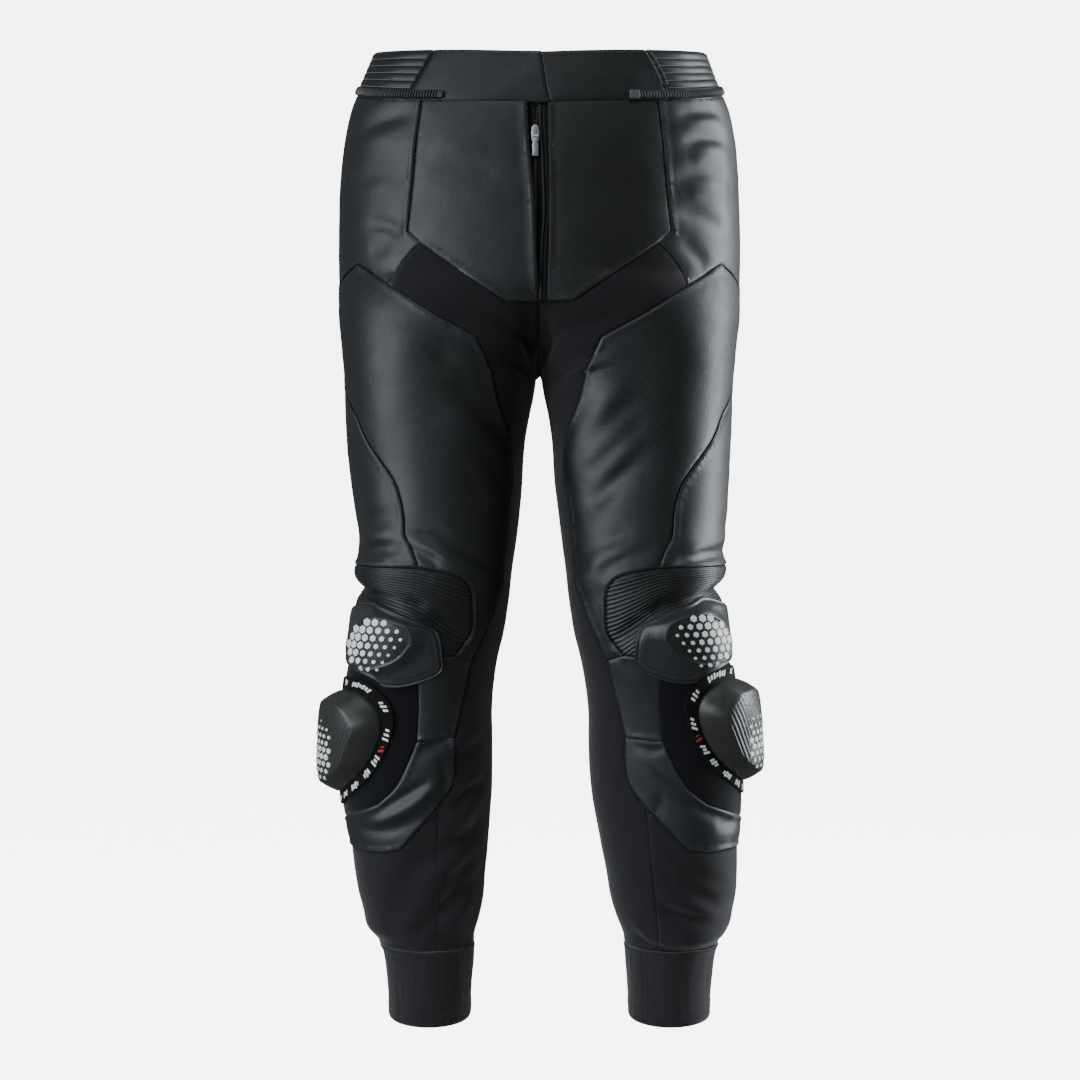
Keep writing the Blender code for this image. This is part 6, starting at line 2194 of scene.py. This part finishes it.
def dashes(name, moulding, turns, material, lean):
    """Slanted bars on a moulded ring. Each is (turn in degrees from straight inwards, width along it, height)."""
    centres, axes = [], []
    for turn, length, depth in turns:
        t = math.radians(turn)
        way, along = np.array([-math.cos(t), math.sin(t)]), np.array([math.sin(t), math.cos(t)])
        radius = np.interp(math.atan2(way[1], way[0]), moulding.turns, moulding.radii)
        spot = moulding.centre + way * radius * TAPE_SHARE / (PATTERN_SCALE, 1)
        line = np.array([spot + along * step / (PATTERN_SCALE, 1) for step in (-1, 0, 1)])
        points = moulding.points(line, 0.15)
        bar = frames_along(points, outward(moulding.side, line[:, 0], line[:, 1]))[1]
        bar[1] += lean * bar[0]
        centres.append(points[1])
        axes.append(sized(bar, length, depth, BAR_THICKNESS))
    copies(name, block(0.08), np.array(centres), np.array(axes), material)


SLOT_INSET, SLOT_TURNS, SLOT_PITCH = 12.5, (8, -112), 3.0
SLOT_SIZE = (1.1, 3.0, 0.5)  # along the rim, across it, and thick


def slots(name, moulding, inset, turns):
    """Slots at right angles to the rim, at an even distance from it, each a flat black piece of painted shade."""
    t = np.radians(np.linspace(*turns, 160))
    radius = np.interp(np.arctan2(np.sin(t), -np.cos(t)), moulding.turns, moulding.radii) - inset
    way = np.stack([-np.cos(t), np.sin(t)], axis=-1)
    places = moulding.centre + way * radius[:, None] / (PATTERN_SCALE, 1)
    points = moulding.points(places, -0.05)
    at = spaced(points, SLOT_PITCH)
    where = read_at(places, at)
    frames = frames_along(read_at(points, at), outward(moulding.side, where[:, 0], where[:, 1]))
    copies(name, block(0.2), read_at(points, at), sized(frames, *SLOT_SIZE), SLOT_SHADE)


total = 0
for side, called in SIDES.items():
    guard, slider, base = MOULDINGS[side]
    fields = (
        ("guard_inlay", guard, (8.6, 5, 4, guard_studs), 0.9, WHITE),
        ("guard_scales", guard, (3.7, 12, 11, guard_scales), 0.45, MOULDED_SOFT),
        ("slider_inlay", slider, (8.0, 4, 5, slider_studs), 0.8, WHITE),
    )
    for name, moulding, grid, height, material in fields:
        centres, sizes = hex_field(*grid)
        studs(f"{name}_{called}", moulding, centres, sizes, height, material)
        total += len(centres)
    slots(f"guard_slots_{called}", guard, SLOT_INSET, SLOT_TURNS)
    dashes(f"base_dashes_{called}", base, BARS, WHITE, lean=0.35)
    dashes(f"base_mark_{called}", base, MARK, RED_THREAD, lean=-0.3)
print("studs:", total)

# %% [markdown]
# ## Floor, light and camera
#
# Dark leather shows its shape by what it mirrors, so the lights are few and large: a tall soft box on either side,
# a weak one above, and a narrow low one for the cuffs. The floor and the background are white to the camera only,
# so they don't wash out the leather's shine.

# %% Light the trousers and look at them from the front
COOL = (0.90, 0.96, 1.0)


def area_light(name, place, target, size, power, spread=180):
    light = bpy.data.lights.new(name, "AREA")
    light.shape, light.size, light.size_y = "RECTANGLE", *size
    light.energy, light.color, light.spread = power, COOL, math.radians(spread)
    obj = bpy.data.objects.new(name, light)
    bpy.context.scene.collection.objects.link(obj)
    obj.location = place
    obj.rotation_mode = "QUATERNION"
    obj.rotation_quaternion = (Vector(target) - Vector(place)).to_track_quat("-Z", "Y")


BACKDROP = 6.0  # bright enough that floor and background both show as white
FILL = 0.16  # what the surroundings add to the lights
FLOOR_Z, FLOOR_RADIUS = -1.02, 9.0
middle = Vector((0, 0, -0.45))
area_light("left_box", (-2.8, -1.9, -0.15), middle, (2.8, 3.2), 130)
area_light("right_box", (2.3, 0.6, -0.1), middle, (0.9, 2.6), 120)
area_light("top_box", (-0.3, -1.6, 2.2), middle, (2.0, 1.6), 20)
area_light("low_box", (-0.9, -2.7, -0.8), (0, 0, -0.92), (1.2, 0.4), 1.2, spread=25)

bm = bmesh.new()
bmesh.ops.create_circle(bm, cap_ends=True, segments=64, radius=FLOOR_RADIUS)
bmesh.ops.translate(bm, verts=bm.verts, vec=(0, 0, FLOOR_Z))
floor_mesh = bpy.data.meshes.new("floor")
bm.to_mesh(floor_mesh)
bm.free()
floor = bpy.data.objects.new("floor", floor_mesh)
bpy.context.scene.collection.objects.link(floor)
floor_finish = Finish("pale floor", (0.85, 0.85, 0.85), 0.9, Emission_Color=(1, 1, 1, 1), Emission_Strength=BACKDROP)
floor_mesh.materials.append(floor_finish.material)
floor.visible_diffuse = floor.visible_glossy = False  # its glow is for the camera and doesn't light the trousers

world = bpy.data.worlds.new("studio")
bpy.context.scene.world = world
world.use_nodes = True
tree = world.node_tree
backdrop = tree.nodes["Background"]
backdrop.inputs["Color"].default_value = (1, 1, 1, 1)
backdrop.inputs["Strength"].default_value = BACKDROP
dim = tree.nodes.new("ShaderNodeBackground")
dim.inputs["Color"].default_value = (*COOL, 1)
dim.inputs["Strength"].default_value = FILL
seen_directly = tree.nodes.new("ShaderNodeLightPath")
either = tree.nodes.new("ShaderNodeMixShader")
tree.links.new(seen_directly.outputs["Is Camera Ray"], either.inputs["Fac"])
tree.links.new(dim.outputs["Background"], either.inputs[1])
tree.links.new(backdrop.outputs["Background"], either.inputs[2])
tree.links.new(either.outputs["Shader"], tree.nodes["World Output"].inputs["Surface"])

camera = bpy.data.cameras.new("camera")
camera.sensor_width, camera.lens = 36.0, 106.7  # so that one pixel is one millimetre at the trousers
camera_obj = bpy.data.objects.new("camera", camera)
bpy.context.scene.collection.objects.link(camera_obj)
camera_obj.location = (0, -SIGHT_DISTANCE * MM, SIGHT_HEIGHT * MM)
camera_obj.rotation_euler = (math.pi / 2, 0, 0)
bpy.context.scene.camera = camera_obj
